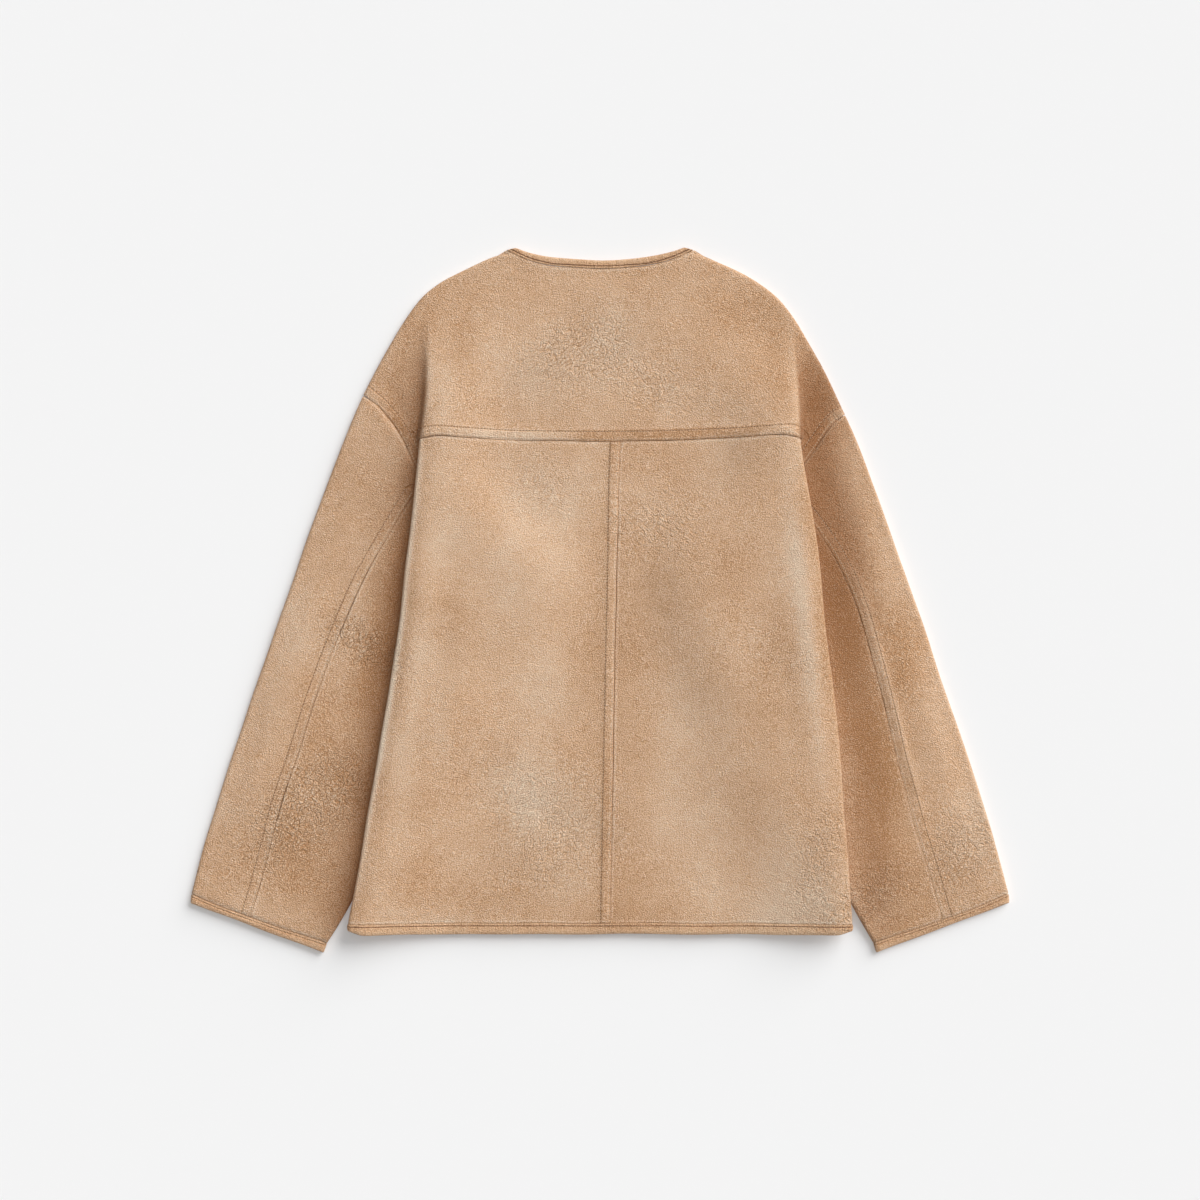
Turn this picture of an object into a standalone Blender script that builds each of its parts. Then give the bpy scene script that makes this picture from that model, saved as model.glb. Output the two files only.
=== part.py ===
"""A collarless, drop-shouldered short coat in suede-faced double cloth, laid flat on its front.

The back faces up and the sleeves lie down beside the body. Each side of the body is folded like
a gusset: back and front turn in at the side folds and meet again at the side seam, and the sleeve
comes out between them. Seen from the side, six walls lie on each other there:

    6 back panel, 5 its part folded under, 4 and 3 the sleeve, 2 the front folded in, 1 the front

Every piece is a wall through rows of points on its middle surface. A point is (out, height):
out from the centre line towards one side, height up towards the neck, both in millimetres. The
third coordinate is worked out by the level functions, and the meshes are written in metres.
"""
import math
from collections import namedtuple

import bpy
import numpy as np

MM = 0.001

# ---- driving sizes, in millimetres
WALL = 3.0              # the double cloth, a little pressed by its own weight
LAYER_GAP = 0.8         # air between walls that lie on each other
SEAM_GAP = 0.3          # between pieces that are sewn to each other
BAND_RAISE = 1.0        # topstitched seam band, above the panel
BAND_WIDTH = 11.0
BAND_SLOPE = 1.5
SEAM_DIP = 0.5          # the cloth is drawn in along a seam
BINDING_RAISE = 0.5     # binding, above the panel's two faces
FRONT_TUCK = 30.0       # the front's side fold lies this far inside the back's
TUCK_START = 4.0        # width of the part folded under, at the yoke's seam
FOLD_CLEAR = 8.0        # the armhole passes under the side fold this far inside its turn
UNDERARM = 30.0         # height of the underarm's point, where armhole and side seam meet
SLEEVE_SINK = (-20.0, 32.0)     # the sleeve comes down to the floor here, out from the fold
TUCK_SINK = (7.0, 32.0)         # and the part folded under here, in from the sleeve's edge
YOKE_DROOP, YOKE_DROOP_WIDTH = 4.5, 22.0    # dip of the yoke's seam at the side fold
SIDE_RAMP = 62.0        # width over which the back comes down inside the side seam
LOFT = 3.0              # air between front and back in the middle
SWELL, SWELL_PITCH = 0.6, (31.0, 37.0)      # soft unevenness of the back, out and in height
SLEEVE_LOFT = 2.6       # air inside a sleeve, at its crest
STEP_OUT = 3.0          # the yoke's step ends this far outside the fold line, at its seam,
STEP_SOFTER = 6.0       # and further out by this where it starts, at the shoulder
FRONT_STEP = 6.0        # half the width of the front's own step, under the shoulder
ROLL_UNDER = 4.0        # the yoke rolls over the shoulder and this far on below
FRONT_EDGE = 10.5       # seam of the front edge's binding, from the centre line
BINDING_GAP = 0.6       # from the centre line to the front binding's edge

PITCH = WALL + LAYER_GAP
FOLD_RADIUS = PITCH / 2
EDGE_INSET = WALL / 2 + FOLD_RADIUS     # from a fold's outer face to the centre of its turn
HALF_SEAM = SEAM_GAP / 2
FLOOR_LEVEL = WALL / 2                  # middle of a wall that lies on the floor
SLEEVE_LOW = FLOOR_LEVEL + PITCH / 2    # middle of a sleeve that lies on the floor
SLEEVE_RISE = 2 * PITCH                 # and its rise onto the front's two walls

# ---- the garment's lines; out and height from the middle of its outline
Row = namedtuple("Row", "height left right")
Point = namedtuple("Point", "out height")

SIDE_FOLD = [           # where the back turns under, out from the centre line
    Row(310, 172, 188), Row(250, 173, 196), Row(200, 175, 199), Row(160, 180, 200),
    Row(133, 183, 203.5), Row(90, 187, 211), Row(40, 193.5, 219.5), Row(-20, 200, 224),
    Row(-100, 212.5, 235.5), Row(-200, 229, 242.5), Row(-280, 243, 249), Row(-325, 252, 252),
]
SLEEVE_INNER = [        # the sleeve's inner edge, below the underarm
    Row(30, 85, 95), Row(-90, 145, 150), Row(-215, 204, 207), Row(-306, 250, 252),
    Row(-344, 273, 274),
]
RAMP_START = [          # outer edge of the slope between the side folds and the middle
    Row(350, 150, 160), Row(200, 154, 174), Row(133, 156, 174), Row(85, 124, 136),
    Row(30, 76, 86), Row(-90, 137, 142), Row(-215, 197, 200), Row(-345, 258, 259),
]
SIDE_SEAM = [Row(UNDERARM, 85, 95), Row(-325, 205, 205)]
OUTLINE = [             # shoulder and sleeve, from the neck point to the cuff
    Point(94, 351), Point(113.5, 342), Point(137, 330), Point(153, 322), Point(166, 313.5),
    Point(180, 301.5), Point(196, 280), Point(208, 260), Point(220, 240), Point(230, 220),
    Point(239.5, 200), Point(257, 160), Point(280, 100), Point(308, 20), Point(335.5, -60),
    Point(363.5, -140), Point(389, -220), Point(401, -260), Point(409.5, -294),
]
NECK_SEAM = [Point(0, 332), Point(40, 333.5), Point(54, 335.5), Point(69, 339.5),
             Point(79, 343.5), Point(94, 350.5)]
NECK_EDGE = [Point(0, 340.5), Point(40, 342.3), Point(59, 345.5), Point(74, 349.2),
             Point(84, 353)]
FRONT_NECK = [Point(91, 341), Point(85, 318), Point(72, 292), Point(52, 268), Point(28, 251),
              Point(14, 246), Point(10.8, 240)]
ARMHOLE = {             # from the shoulder's fold to the underarm
    "left": [Point(236.5, 206), Point(222, 194), Point(210, 180), Point(203, 170),
             Point(194, 154), Point(184, 133), Point(165, 112), Point(138, 85), Point(110, 56),
             Point(85, 30)],
    "right": [Point(245.5, 187), Point(233.5, 177), Point(224, 165), Point(216, 153),
              Point(204.5, 137), Point(184, 116), Point(155, 90), Point(124, 60),
              Point(95, 30)],
}
SLEEVE_SEAM = {         # back seam of the two-piece sleeve, below the armhole
    "left": [Point(187, 106), Point(204, 78), Point(226, 40), Point(243.5, 7),
             Point(262.5, -38), Point(285, -100), Point(305, -161), Point(320.5, -209),
             Point(336.5, -271), Point(350, -318)],
    "right": [Point(197, 95), Point(215, 74), Point(237.5, 40), Point(254.5, 2),
              Point(268, -42), Point(283, -100), Point(297, -160), Point(309.5, -205),
              Point(323, -251), Point(343.5, -321)],
}
CUFF_SEAM = [Point(409.5, -294), Point(370, -311), Point(316, -329.5), Point(273, -344)]
CUFF_EDGE = [Point(412.5, -302), Point(396, -309), Point(373, -317.5), Point(342, -329),
             Point(300, -344.5), Point(279, -352.5)]
HEM_EDGE, HEM_SEAM = -334.5, -323.5
FRONT_HEM_EDGE = HEM_EDGE + 1.0
HEM_CORNER_RISE = 4.0
YOKE_SEAM_MIDDLE, YOKE_SEAM_RISE = 158.8, 7.0
CENTRE_SEAM_TOP, CENTRE_SEAM_HEM = 19.6, 9.8    # the centre back seam leans, as it lies
SEAM_JOIN = 3.0         # along the armhole, from the side fold to the sleeve's back seam
SIDES = {"left": -1, "right": 1}

SHARP_EDGE = math.radians(50)

SUEDE = (0.56, 0.37, 0.235)
SUEDE_SHADE = (0.50, 0.31, 0.18)
BINDING = (0.53, 0.33, 0.19)


# ---- curves and blends
def blend(value, start, end):
    """Smooth step: 0 up to start, 1 past end."""
    t = min(max((value - start) / (end - start), 0.0), 1.0)
    return t * t * (3 - 2 * t)


def mix(first, second, share):
    return first + (second - first) * share


def smooth_table(rows, side):
    """A table of heights read as a smooth function with no overshoot."""
    rows = sorted(rows)
    x = np.array([row.height for row in rows], float)
    y = np.array([getattr(row, side) for row in rows], float)
    slope = np.diff(y) / np.diff(x)
    tangent = np.zeros(len(x))
    tangent[0], tangent[-1] = slope[0], slope[-1]
    for k in range(1, len(x) - 1):
        if slope[k - 1] * slope[k] > 0:
            tangent[k] = 2 * slope[k - 1] * slope[k] / (slope[k - 1] + slope[k])

    def read(height):
        h = min(max(height, x[0]), x[-1])
        k = min(int(np.searchsorted(x, h, side="right")) - 1, len(x) - 2)
        width = x[k + 1] - x[k]
        t = (h - x[k]) / width
        return (y[k] * (1 + 2 * t) * (1 - t) ** 2 + y[k + 1] * t * t * (3 - 2 * t)
                + width * (tangent[k] * t * (1 - t) ** 2 + tangent[k + 1] * t * t * (t - 1)))

    return read


class Path:
    """A smooth plan curve through points, read by its share of length."""

    STEPS = 24

    def __init__(self, points):
        p = np.array([tuple(point) for point in points], float)
        ends = np.vstack([2 * p[0] - p[1], p, 2 * p[-1] - p[-2]])
        dense = []
        for k in range(1, len(ends) - 2):
            a, b, c, d = ends[k - 1:k + 3]
            for t in np.linspace(0, 1, self.STEPS, endpoint=False):
                dense.append(0.5 * (2 * b + (c - a) * t + (2 * a - 5 * b + 4 * c - d) * t ** 2
                                    + (3 * b - a - 3 * c + d) * t ** 3))
        self.dense = np.array(dense + [p[-1]])
        self.finish()

    def finish(self):
        run = np.linalg.norm(np.diff(self.dense, axis=0), axis=1)
        self.run = np.concatenate([[0], np.cumsum(run)])
        self.length = self.run[-1]

    def at(self, share):
        where = share * self.length
        return np.array([np.interp(where, self.run, self.dense[:, 0]),
                         np.interp(where, self.run, self.dense[:, 1])])

    def normal(self, share):
        """Unit vector to the right of the direction of travel."""
        step = self.at(min(share + 0.01, 1)) - self.at(max(share - 0.01, 0))
        step /= np.linalg.norm(step)
        return np.array([step[1], -step[0]])

    def offset(self, distance):
        """The curve moved to the right of its direction by a distance."""
        moved = Path.__new__(Path)
        shares = self.run / self.length
        moved.dense = np.array([self.at(s) + self.normal(s) * distance for s in shares])
        moved.finish()
        return moved

    def share_at_height(self, height):
        order = np.argsort(self.dense[:, 1])
        return float(np.interp(height, self.dense[order, 1], self.run[order])) / self.length

    def part(self, start, end):
        return lambda share: self.at(mix(start, end, share))


def line(first, last):
    first, last = np.array(first, float), np.array(last, float)
    return lambda share: mix(first, last, share)


def patch(first, last, start, end):
    """A plan patch between four curves: first and last run up, start and end run across."""

    def read(across, up):
        corners = mix(mix(first(0), last(0), across), mix(first(1), last(1), across), up)
        return (mix(first(up), last(up), across) + mix(start(across), end(across), up)
                - corners)

    return read


# ---- one side of the coat: its lines, and the levels of its walls
class SideLines:
    def __init__(self, name):
        self.name, self.sign = name, SIDES[name]
        self.fold = smooth_table(SIDE_FOLD, name)
        self.inner = smooth_table(SLEEVE_INNER, name)
        self.ramp = smooth_table(RAMP_START, name)
        self.side_seam = smooth_table(SIDE_SEAM, name)
        self.outline = Path(OUTLINE)
        self.edge = self.outline.offset(EDGE_INSET)
        points = list(ARMHOLE[name])
        self.cap = self.outline.share_at_height(points[0].height)
        points[0] = Point(*self.edge.at(self.cap))
        self.armhole = Path(points)
        self.fold_share = self.crossing(EDGE_INSET + FOLD_CLEAR)
        self.front_share = self.crossing(FRONT_TUCK)
        self.join = self.fold_share + SEAM_JOIN / self.armhole.length
        self.crease_top = self.outline_meets_fold()

    def crossing(self, tuck):
        """Share of the armhole where it passes under the fold line, moved in by a tuck."""
        for share in np.linspace(0.2, 1, 400):
            out, height = self.armhole.at(share)
            if out < self.fold(height) - tuck:
                break
        return share

    def outline_meets_fold(self):
        """Share of the shoulder line where the fold line runs into it."""
        for share in np.linspace(0, 0.4, 800):
            out, height = self.edge.at(share)
            if out > self.fold(height):
                break
        return share

    def stack(self, height):
        """How much of the pleat's full thickness there is: none at the shoulder line."""
        top = self.edge.at(self.crease_top)[1]
        return 1 - blend(height, YOKE_SEAM_MIDDLE, top)

    def sleeve_middle(self, out, height):
        beyond = out - self.fold(height)
        return SLEEVE_LOW + SLEEVE_RISE * self.stack(height) * (1 - blend(beyond, *SLEEVE_SINK))

    def sleeve_upper(self, out, height):
        """Upper wall of the sleeve, and the drop shoulder that runs on from it."""
        return self.sleeve_middle(out, height) + PITCH / 2

    def sleeve_lower(self, out, height):
        return self.sleeve_middle(out, height) - PITCH / 2

    def top_at_fold(self, out, height):
        return self.sleeve_upper(out, height) + 2 * PITCH * self.stack(height)

    def top(self, out, height):
        """Back and yoke, inside the side fold."""
        start = self.ramp(height)
        seam = self.side_seam(height) if height < UNDERARM else start
        down = 1 - blend(out, min(start, seam) - SIDE_RAMP, start)
        waves = math.cos(out / SWELL_PITCH[0]) * math.sin(height / SWELL_PITCH[1])
        swell = SWELL * (1 + waves) / 2 * (1 - blend(height, 240, 300))
        return mix(self.top_at_fold(out, height), middle_level(height), down) + swell

    def tucked(self, out, height):
        """The back's part that is folded under. It comes down inside the sleeve's edge."""
        inside = self.inner(height) - out if height < UNDERARM else 0
        return self.sleeve_upper(out, height) + PITCH - 2 * PITCH * blend(inside, *TUCK_SINK)


def middle_level(height):
    """Back wall over the middle of the front, from the hem to the neck."""
    rise = blend(height, HEM_EDGE - 40, HEM_EDGE + 150) * (1 - blend(height, 170, 330))
    return FLOOR_LEVEL + PITCH + LOFT * mix(0.35, 1.0, rise) * (1 - blend(height, 300, 332))


def yoke_seam(out, side):
    """Height of the yoke's seam. It dips where the cloth rolls over the side fold."""
    fold = side.fold(YOKE_SEAM_MIDDLE)
    curve = YOKE_SEAM_MIDDLE + YOKE_SEAM_RISE * (out / 190) ** 2
    return curve - YOKE_DROOP * blend(out, fold - YOKE_DROOP_WIDTH, fold)


def centre_seam(height, side):
    """The centre back seam, out from the middle towards one side."""
    share = (YOKE_SEAM_MIDDLE - height) / (YOKE_SEAM_MIDDLE - HEM_SEAM)
    leaning = share ** 0.8 if share > 0 else 0
    return side.sign * mix(CENTRE_SEAM_TOP, CENTRE_SEAM_HEM, leaning)


# ---- walls
def wall(name, rows, material, outer=0.0, inner=0.0, closed=False, flip=False, normals=np.nan):
    """A closed solid, WALL thick, around rows of points on its middle surface.

    outer and inner add to the half thickness on the two faces, as numbers or as tables of
    the rows' shape. A closed wall's rows run all round. The normals follow from the rows where
    none are given, and there is no wall where a point is nan.
    """
    points = np.array(rows, float)
    count, width = points.shape[:2]
    outer = WALL / 2 + np.broadcast_to(outer, (count, width))
    inner = WALL / 2 + np.broadcast_to(inner, (count, width))
    if closed:
        across = np.roll(points, -1, axis=1) - np.roll(points, 1, axis=1)
    else:
        across = np.gradient(points, axis=1)
    along = np.gradient(points, axis=0)
    normal = np.cross(across, along)
    if flip:
        normal = -normal
    normal = np.where(np.isnan(normals), normal, normals)
    normal /= np.linalg.norm(normal, axis=2, keepdims=True)
    present = ~np.isnan(points[..., 2])
    number = np.full((count, width), -1)
    number[present] = np.arange(present.sum())
    shell = np.concatenate([(points + normal * outer[..., None])[present],
                            (points - normal * inner[..., None])[present]])
    back = int(present.sum())
    cells = []
    for r in range(count - 1):
        for c in range(width if closed else width - 1):
            d = (c + 1) % width
            cell = [int(number[spot]) for spot in ((r, c), (r, d), (r + 1, d), (r + 1, c))]
            if min(cell) >= 0:
                cells.append(cell)
    edges = {(a, b) for cell in cells for a, b in zip(cell, cell[1:] + cell[:1])}
    faces = cells + [[back + i for i in cell[::-1]] for cell in cells]
    faces += [[b, a, back + a, back + b] for a, b in sorted(edges) if (b, a) not in edges]
    if flip:
        faces = [face[::-1] for face in faces]
    mesh = bpy.data.meshes.new(name)
    mesh.from_pydata((shell * MM).tolist(), [], faces)
    mesh.shade_smooth()
    mesh.set_sharp_from_angle(angle=SHARP_EDGE)
    mesh.materials.append(material)
    thing = bpy.data.objects.new(name, mesh)
    bpy.context.scene.collection.objects.link(thing)
    return thing


def cloth(name, colour, roughness):
    material = bpy.data.materials.new(name)
    material.use_nodes = True
    shader = material.node_tree.nodes["Principled BSDF"]
    shader.inputs["Base Color"].default_value = (*colour, 1)
    shader.inputs["Roughness"].default_value = roughness
    shader.inputs["Metallic"].default_value = 0.0
    return material


def turn(centre, outward, upper, lower, segments=5):
    """A fold's points from the upper wall round to the lower one, both ends left out."""
    middle, radius = (upper + lower) / 2, (upper - lower) / 2
    points = []
    for k in range(1, segments):
        angle = math.pi * k / segments
        plan = centre + outward * radius * math.sin(angle)
        points.append((*plan, middle + radius * math.cos(angle)))
    return points


def placed(rows, sign):
    """Rows of (out, height, level) as x, y, z on one side."""
    table = np.array(rows, float)
    table[..., 0] *= sign
    return table


# ---- the back panels
NEAR_FOLD = [22.0, 14.0, 8.0, EDGE_INSET]       # columns inside the side fold
BACK_ROWS = [("seam", HALF_SEAM), ("seam", 2.0), ("seam", 12.0), ("at", 131), ("at", 108),
             ("at", 84), ("at", 58), ("at", 30), ("at", -8), ("at", -55), ("at", -108),
             ("at", -162), ("at", -215), ("at", -262), ("at", -298), ("at", HEM_SEAM + 2.0),
             ("at", HEM_SEAM + HALF_SEAM)]


def back_row(side, kind, value, from_centre):
    """One row of a back panel: from the centre seam to the side fold and in below it."""
    base = YOKE_SEAM_MIDDLE - value if kind == "seam" else value
    keep_curve = blend(base, 60, YOKE_SEAM_MIDDLE - 12)

    def height(out):
        return base + (yoke_seam(out, side) - YOKE_SEAM_MIDDLE) * keep_curve

    fold = side.fold(base)
    seam = centre_seam(base, side)
    points = []
    near_fold = [fold - d - seam for d in NEAR_FOLD]
    for distance in from_centre + [near_fold[0] * k / 7 for k in range(1, 7)] + near_fold:
        out = seam + distance
        points.append((out, height(out), side.top(out, height(out))))
    centre = np.array([fold - EDGE_INSET, height(fold)])
    upper = side.top(centre[0], centre[1])
    lower = side.tucked(centre[0], centre[1])
    points[-1] = (centre[0], centre[1], upper)
    points += turn(centre, np.array([1.0, 0.0]), upper, lower)
    corner = side.armhole.at(side.fold_share)
    if base > corner[1]:        # along the yoke's seam, folded under
        share = (YOKE_SEAM_MIDDLE - base) / (YOKE_SEAM_MIDDLE - corner[1])
        turned = side.fold(YOKE_SEAM_MIDDLE) - EDGE_INSET - TUCK_START
        end = mix(np.array([turned, yoke_seam(turned, side)]), corner, share)
    elif base > UNDERARM:
        share = (corner[1] - base) / (corner[1] - UNDERARM)
        end = side.armhole.at(mix(side.fold_share, 1.0, share))
    else:
        end = np.array([side.side_seam(base), base])
    for share in (0.0, 0.2, 0.4, 0.6, 0.8, 1.0):
        spot = mix(centre, end, share)
        points.append((*spot, side.tucked(*spot)))
    return points


def back_panel(side, material):
    on_band = side.name == "left"
    # The band lies on the left panel, along the seam.
    near_seam = [HALF_SEAM, BAND_SLOPE, BAND_WIDTH - BAND_SLOPE, BAND_WIDTH] if on_band \
        else [HALF_SEAM, 2.0]
    rows = [back_row(side, kind, value, near_seam) for kind, value in BACK_ROWS]
    raised = np.zeros((len(rows), len(rows[0])))
    if on_band:
        raised[:, 1:3] = BAND_RAISE
    raised[:, 0] = -SEAM_DIP if not on_band else 0.0
    raised[0, :] = -SEAM_DIP
    raised[-1, :] = -SEAM_DIP
    wall("back_" + side.name, placed(rows, side.sign), material, outer=raised,
         flip=side.sign > 0)


# ---- the yoke
Column = namedtuple("Column", "low high")
YOKE_COLUMNS = [        # low: share of the seam; high: 0 to 1 on the neck, to 2 at the crease
    Column(0.0, 0.0), Column(0.12, 0.28), Column(0.25, 0.52), Column(0.37, 0.72),
    Column(0.47, 0.88), Column(0.55, 1.0), Column(0.65, 1.25), Column(0.76, 1.5),
]
YOKE_UP = [0.16, 0.3, 0.44, 0.58, 0.72, 0.85, 0.94, 1.0]
NEAR_CREASE = [1.7, 1.8, 1.88, 1.94]    # the high ends of the columns at NEAR_FOLD
DROP_STATIONS = [0.0, 0.06, 0.16, 0.32, 0.55, 0.78]     # from the crease to the armhole's band
CORNER_DOWN = [1.0, 0.76, 0.54, 0.34, 0.16]     # rows of the corner below the seam, end first
CORNER_EDGE = [(3, 0.2), (8, -0.7), (13, -2.2)]     # down from the seam, out from the fold
CORNER_END = np.array([-3.0, 2.5])      # from the armhole's end to the corner's inner end
CORNER_SINK = 10.0      # the corner comes down from the seam to the drop shoulder in this
CORNER_BAND = 0.8       # the most of the corner's width that the band takes
FLAT_STEP = 1.0         # between the points that end a column flat, at the neck
BAND_FADE = (1, 6)      # a band that runs in under the back's fold has gone flat by there
YOKE_BAND_END = (0, 3)  # the yoke's own band has gone flat this far outside the fold
NUDGE = 0.1             # reach of the slopes that are measured for normals
NOWHERE = (np.nan,) * 3
ARMHOLE_GAP = 0.5       # the two grids meet at a slant there, so the yoke keeps clear


def shoulder_spot(side, high, inward=0.0):
    """On the shoulder line's turn: high 1 is the neck, 2 the crease and 3 the armhole."""
    share = side.crease_top * (high - 1) if high <= 2 else \
        mix(side.crease_top, side.cap, high - 2)
    share = max(share, 0.0)
    outward = -side.outline.normal(share)
    return side.edge.at(share) - outward * inward, outward


def half_yoke(side):
    """Columns of one half of the yoke, from the middle to the armhole, and added thickness."""
    fold = side.fold(YOKE_SEAM_MIDDLE)
    neck = Path(NECK_SEAM)
    crease_low = np.array([fold, yoke_seam(fold, side)])
    crease_high = shoulder_spot(side, 2)[0]
    columns = YOKE_COLUMNS + [Column(1 - d / fold, high) for d, high in
                              zip(NEAR_FOLD, NEAR_CREASE)] + [Column(1.0, 2.0)]
    stations = np.linspace(0, 1, len(columns))

    def crease(share):
        height = mix(crease_low[1], crease_high[1], share)
        return np.array([mix(side.fold(height), crease_high[0], blend(share, 0.85, 1.0)), height])

    def low(station):
        out = fold * np.interp(station, stations, [column.low for column in columns])
        return np.array([out, yoke_seam(out, side)])

    def high(station):
        place = np.interp(station, stations, [column.high for column in columns])
        if place <= 1:
            return neck.at(place) - np.array([0, HALF_SEAM])
        return shoulder_spot(side, place)[0]

    meet = side.armhole.share_at_height(crease_low[1])
    level_line = line(crease_low, side.armhole.at(meet))
    body = patch(line(low(0), high(0)), crease, low, high)
    drop = patch(crease, side.armhole.part(meet, 0.0), level_line,
                 lambda s: shoulder_spot(side, 2 + s)[0])
    # The corner below the seam runs in under the back's fold.
    corner_end = side.armhole.at(side.fold_share)
    hidden = Path([Point(*crease_low)] + [
        Point(side.fold(crease_low[1] - down) + past, crease_low[1] - down)
        for down, past in CORNER_EDGE] + [Point(*corner_end + CORNER_END)])
    corner = patch(hidden.at, side.armhole.part(meet, side.fold_share), level_line,
                   line(corner_end + CORNER_END, corner_end))

    def level(out, height):
        soften = STEP_SOFTER * (1 - side.stack(height))
        step = blend(out - side.fold(height), -EDGE_INSET, STEP_OUT + soften)
        step = max(step, blend(yoke_seam(min(out, fold), side) - height, 0, CORNER_SINK))
        return mix(side.top(out, height), side.sleeve_upper(out, height), step)

    def facing(out, height):
        """The level surface's own normal."""
        lean = level(out + NUDGE, height) - level(out - NUDGE, height)
        rise = level(out, height + NUDGE) - level(out, height - NUDGE)
        return (-lean, -rise, 2 * NUDGE)

    def beside(read, station, distance):
        """A column of the drop shoulder: at a station, or at a distance from the armhole."""
        def spot(up):
            width = np.linalg.norm(read(0, up) - read(1, up))
            band = min(BAND_WIDTH / width, CORNER_BAND)
            if distance is None:
                return read(station * (1 - band), up)
            return read(1 - band * distance / BAND_WIDTH, up)
        return spot

    def column(spot, place, armhole_band=0.0, corner_spot=None):
        length = np.linalg.norm(spot(1.0) - spot(0.0))
        shares = [d / length for d in (HALF_SEAM, BAND_SLOPE, BAND_WIDTH - BAND_SLOPE)]
        shares.append(BAND_WIDTH / length)
        raised = [0.0] * len(CORNER_DOWN) + [-SEAM_DIP, BAND_RAISE, BAND_RAISE, 0.0]
        raised += [0.0] * len(YOKE_UP)
        spots = [corner_spot(s) if corner_spot else None for s in CORNER_DOWN]
        spots += [spot(share) for share in shares + [mix(shares[-1], 1.0, s) for s in YOKE_UP]]
        points, extra, normals = [], [], []
        for k, plan in enumerate(spots):
            if plan is None:        # a column of the body starts at the seam
                points.append(NOWHERE)
                normals.append(NOWHERE)
                extra.append(0.0)
                continue
            beyond = plan[0] - side.fold(plan[1])
            points.append((*plan, level(*plan)))
            normals.append(facing(*plan))
            extra.append(max(raised[k] * (1 - blend(beyond, *YOKE_BAND_END)),
                             armhole_band * blend(beyond, *BAND_FADE)))
        return rolled(points, extra, normals, place)

    def rolled(points, extra, normals, place):
        """Carries a column on over the shoulder's fold. At the neck it ends flat instead."""
        top = np.array(points[-1])
        down = top[:2] - np.array(points[-2][:2])
        down /= np.linalg.norm(down)
        over = blend(place, 1.0, 1.3)
        outward = shoulder_spot(side, max(place, 1.0))[1]
        low_level = top[2] - PITCH
        roll = turn(top[:2], outward, top[2], low_level)
        roll += [(*top[:2], low_level), (*(top[:2] - outward * ROLL_UNDER), low_level)]
        flat = [(*(top[:2] - down * FLAT_STEP * (len(roll) - k)), top[2])
                for k in range(len(roll) + 1)]
        turned = [tuple(top)] + roll
        ends = [tuple(mix(np.array(f), np.array(t), over)) for f, t in zip(flat, turned)]
        dip = -SEAM_DIP if over == 0 else 0.0
        return (points[:-1] + ends, extra + [0.0] * (len(roll) - 1) + [dip],
                normals[:-1] + [NOWHERE] * (len(roll) + 1))

    table = [column(lambda up, s=station: body(s, up), c.high)
             for station, c in zip(stations[:-1], columns)]
    width = np.linalg.norm(drop(0, 1) - drop(1, 1))
    band = BAND_WIDTH / width
    places = [(station, None, 0.0, 2 + station * (1 - band)) for station in DROP_STATIONS]
    places += [(None, distance, raised, 3 - distance / width) for distance, raised in
               ((BAND_WIDTH, 0.0), (BAND_WIDTH - BAND_SLOPE, BAND_RAISE),
                (BAND_SLOPE, BAND_RAISE), (ARMHOLE_GAP, 0.0))]
    for station, distance, raised, place in places:
        table.append(column(beside(drop, station, distance), place, raised,
                            beside(corner, station, distance)))
    return [list(part) for part in zip(*table)]


def yoke(lines, material):
    left, left_extra, left_normals = half_yoke(lines["left"])
    right, right_extra, right_normals = half_yoke(lines["right"])
    table = np.concatenate([placed(left[::-1], -1), placed(right[1:], 1)])
    normals = np.concatenate([placed(left_normals[::-1], -1), placed(right_normals[1:], 1)])
    extra = np.array(left_extra[::-1] + right_extra[1:])
    wall("yoke", table.transpose(1, 0, 2), material, outer=extra.T,
         normals=normals.transpose(1, 0, 2))


# ---- the fronts
FRONT_ROWS = [HEM_SEAM + HALF_SEAM, HEM_SEAM + 2.0, -262, -190, -118, -45, 30, 62, 86]
FRONT_UP = [0.06, 0.2, 0.4, 0.6, 0.8, 0.95, 1.0]
FRONT_COLUMNS = [       # low: share of the width; high: 0 to 1 on the neckline, then as above
    Column(0.0, 0.0), Column(0.1, 0.17), Column(0.2, 0.33), Column(0.3, 0.5),
    Column(0.4, 0.67), Column(0.5, 0.83), Column(0.6, 1.0), Column(0.75, 1.5),
    Column(0.88, 1.8), Column(0.95, 1.94),
]


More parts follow.
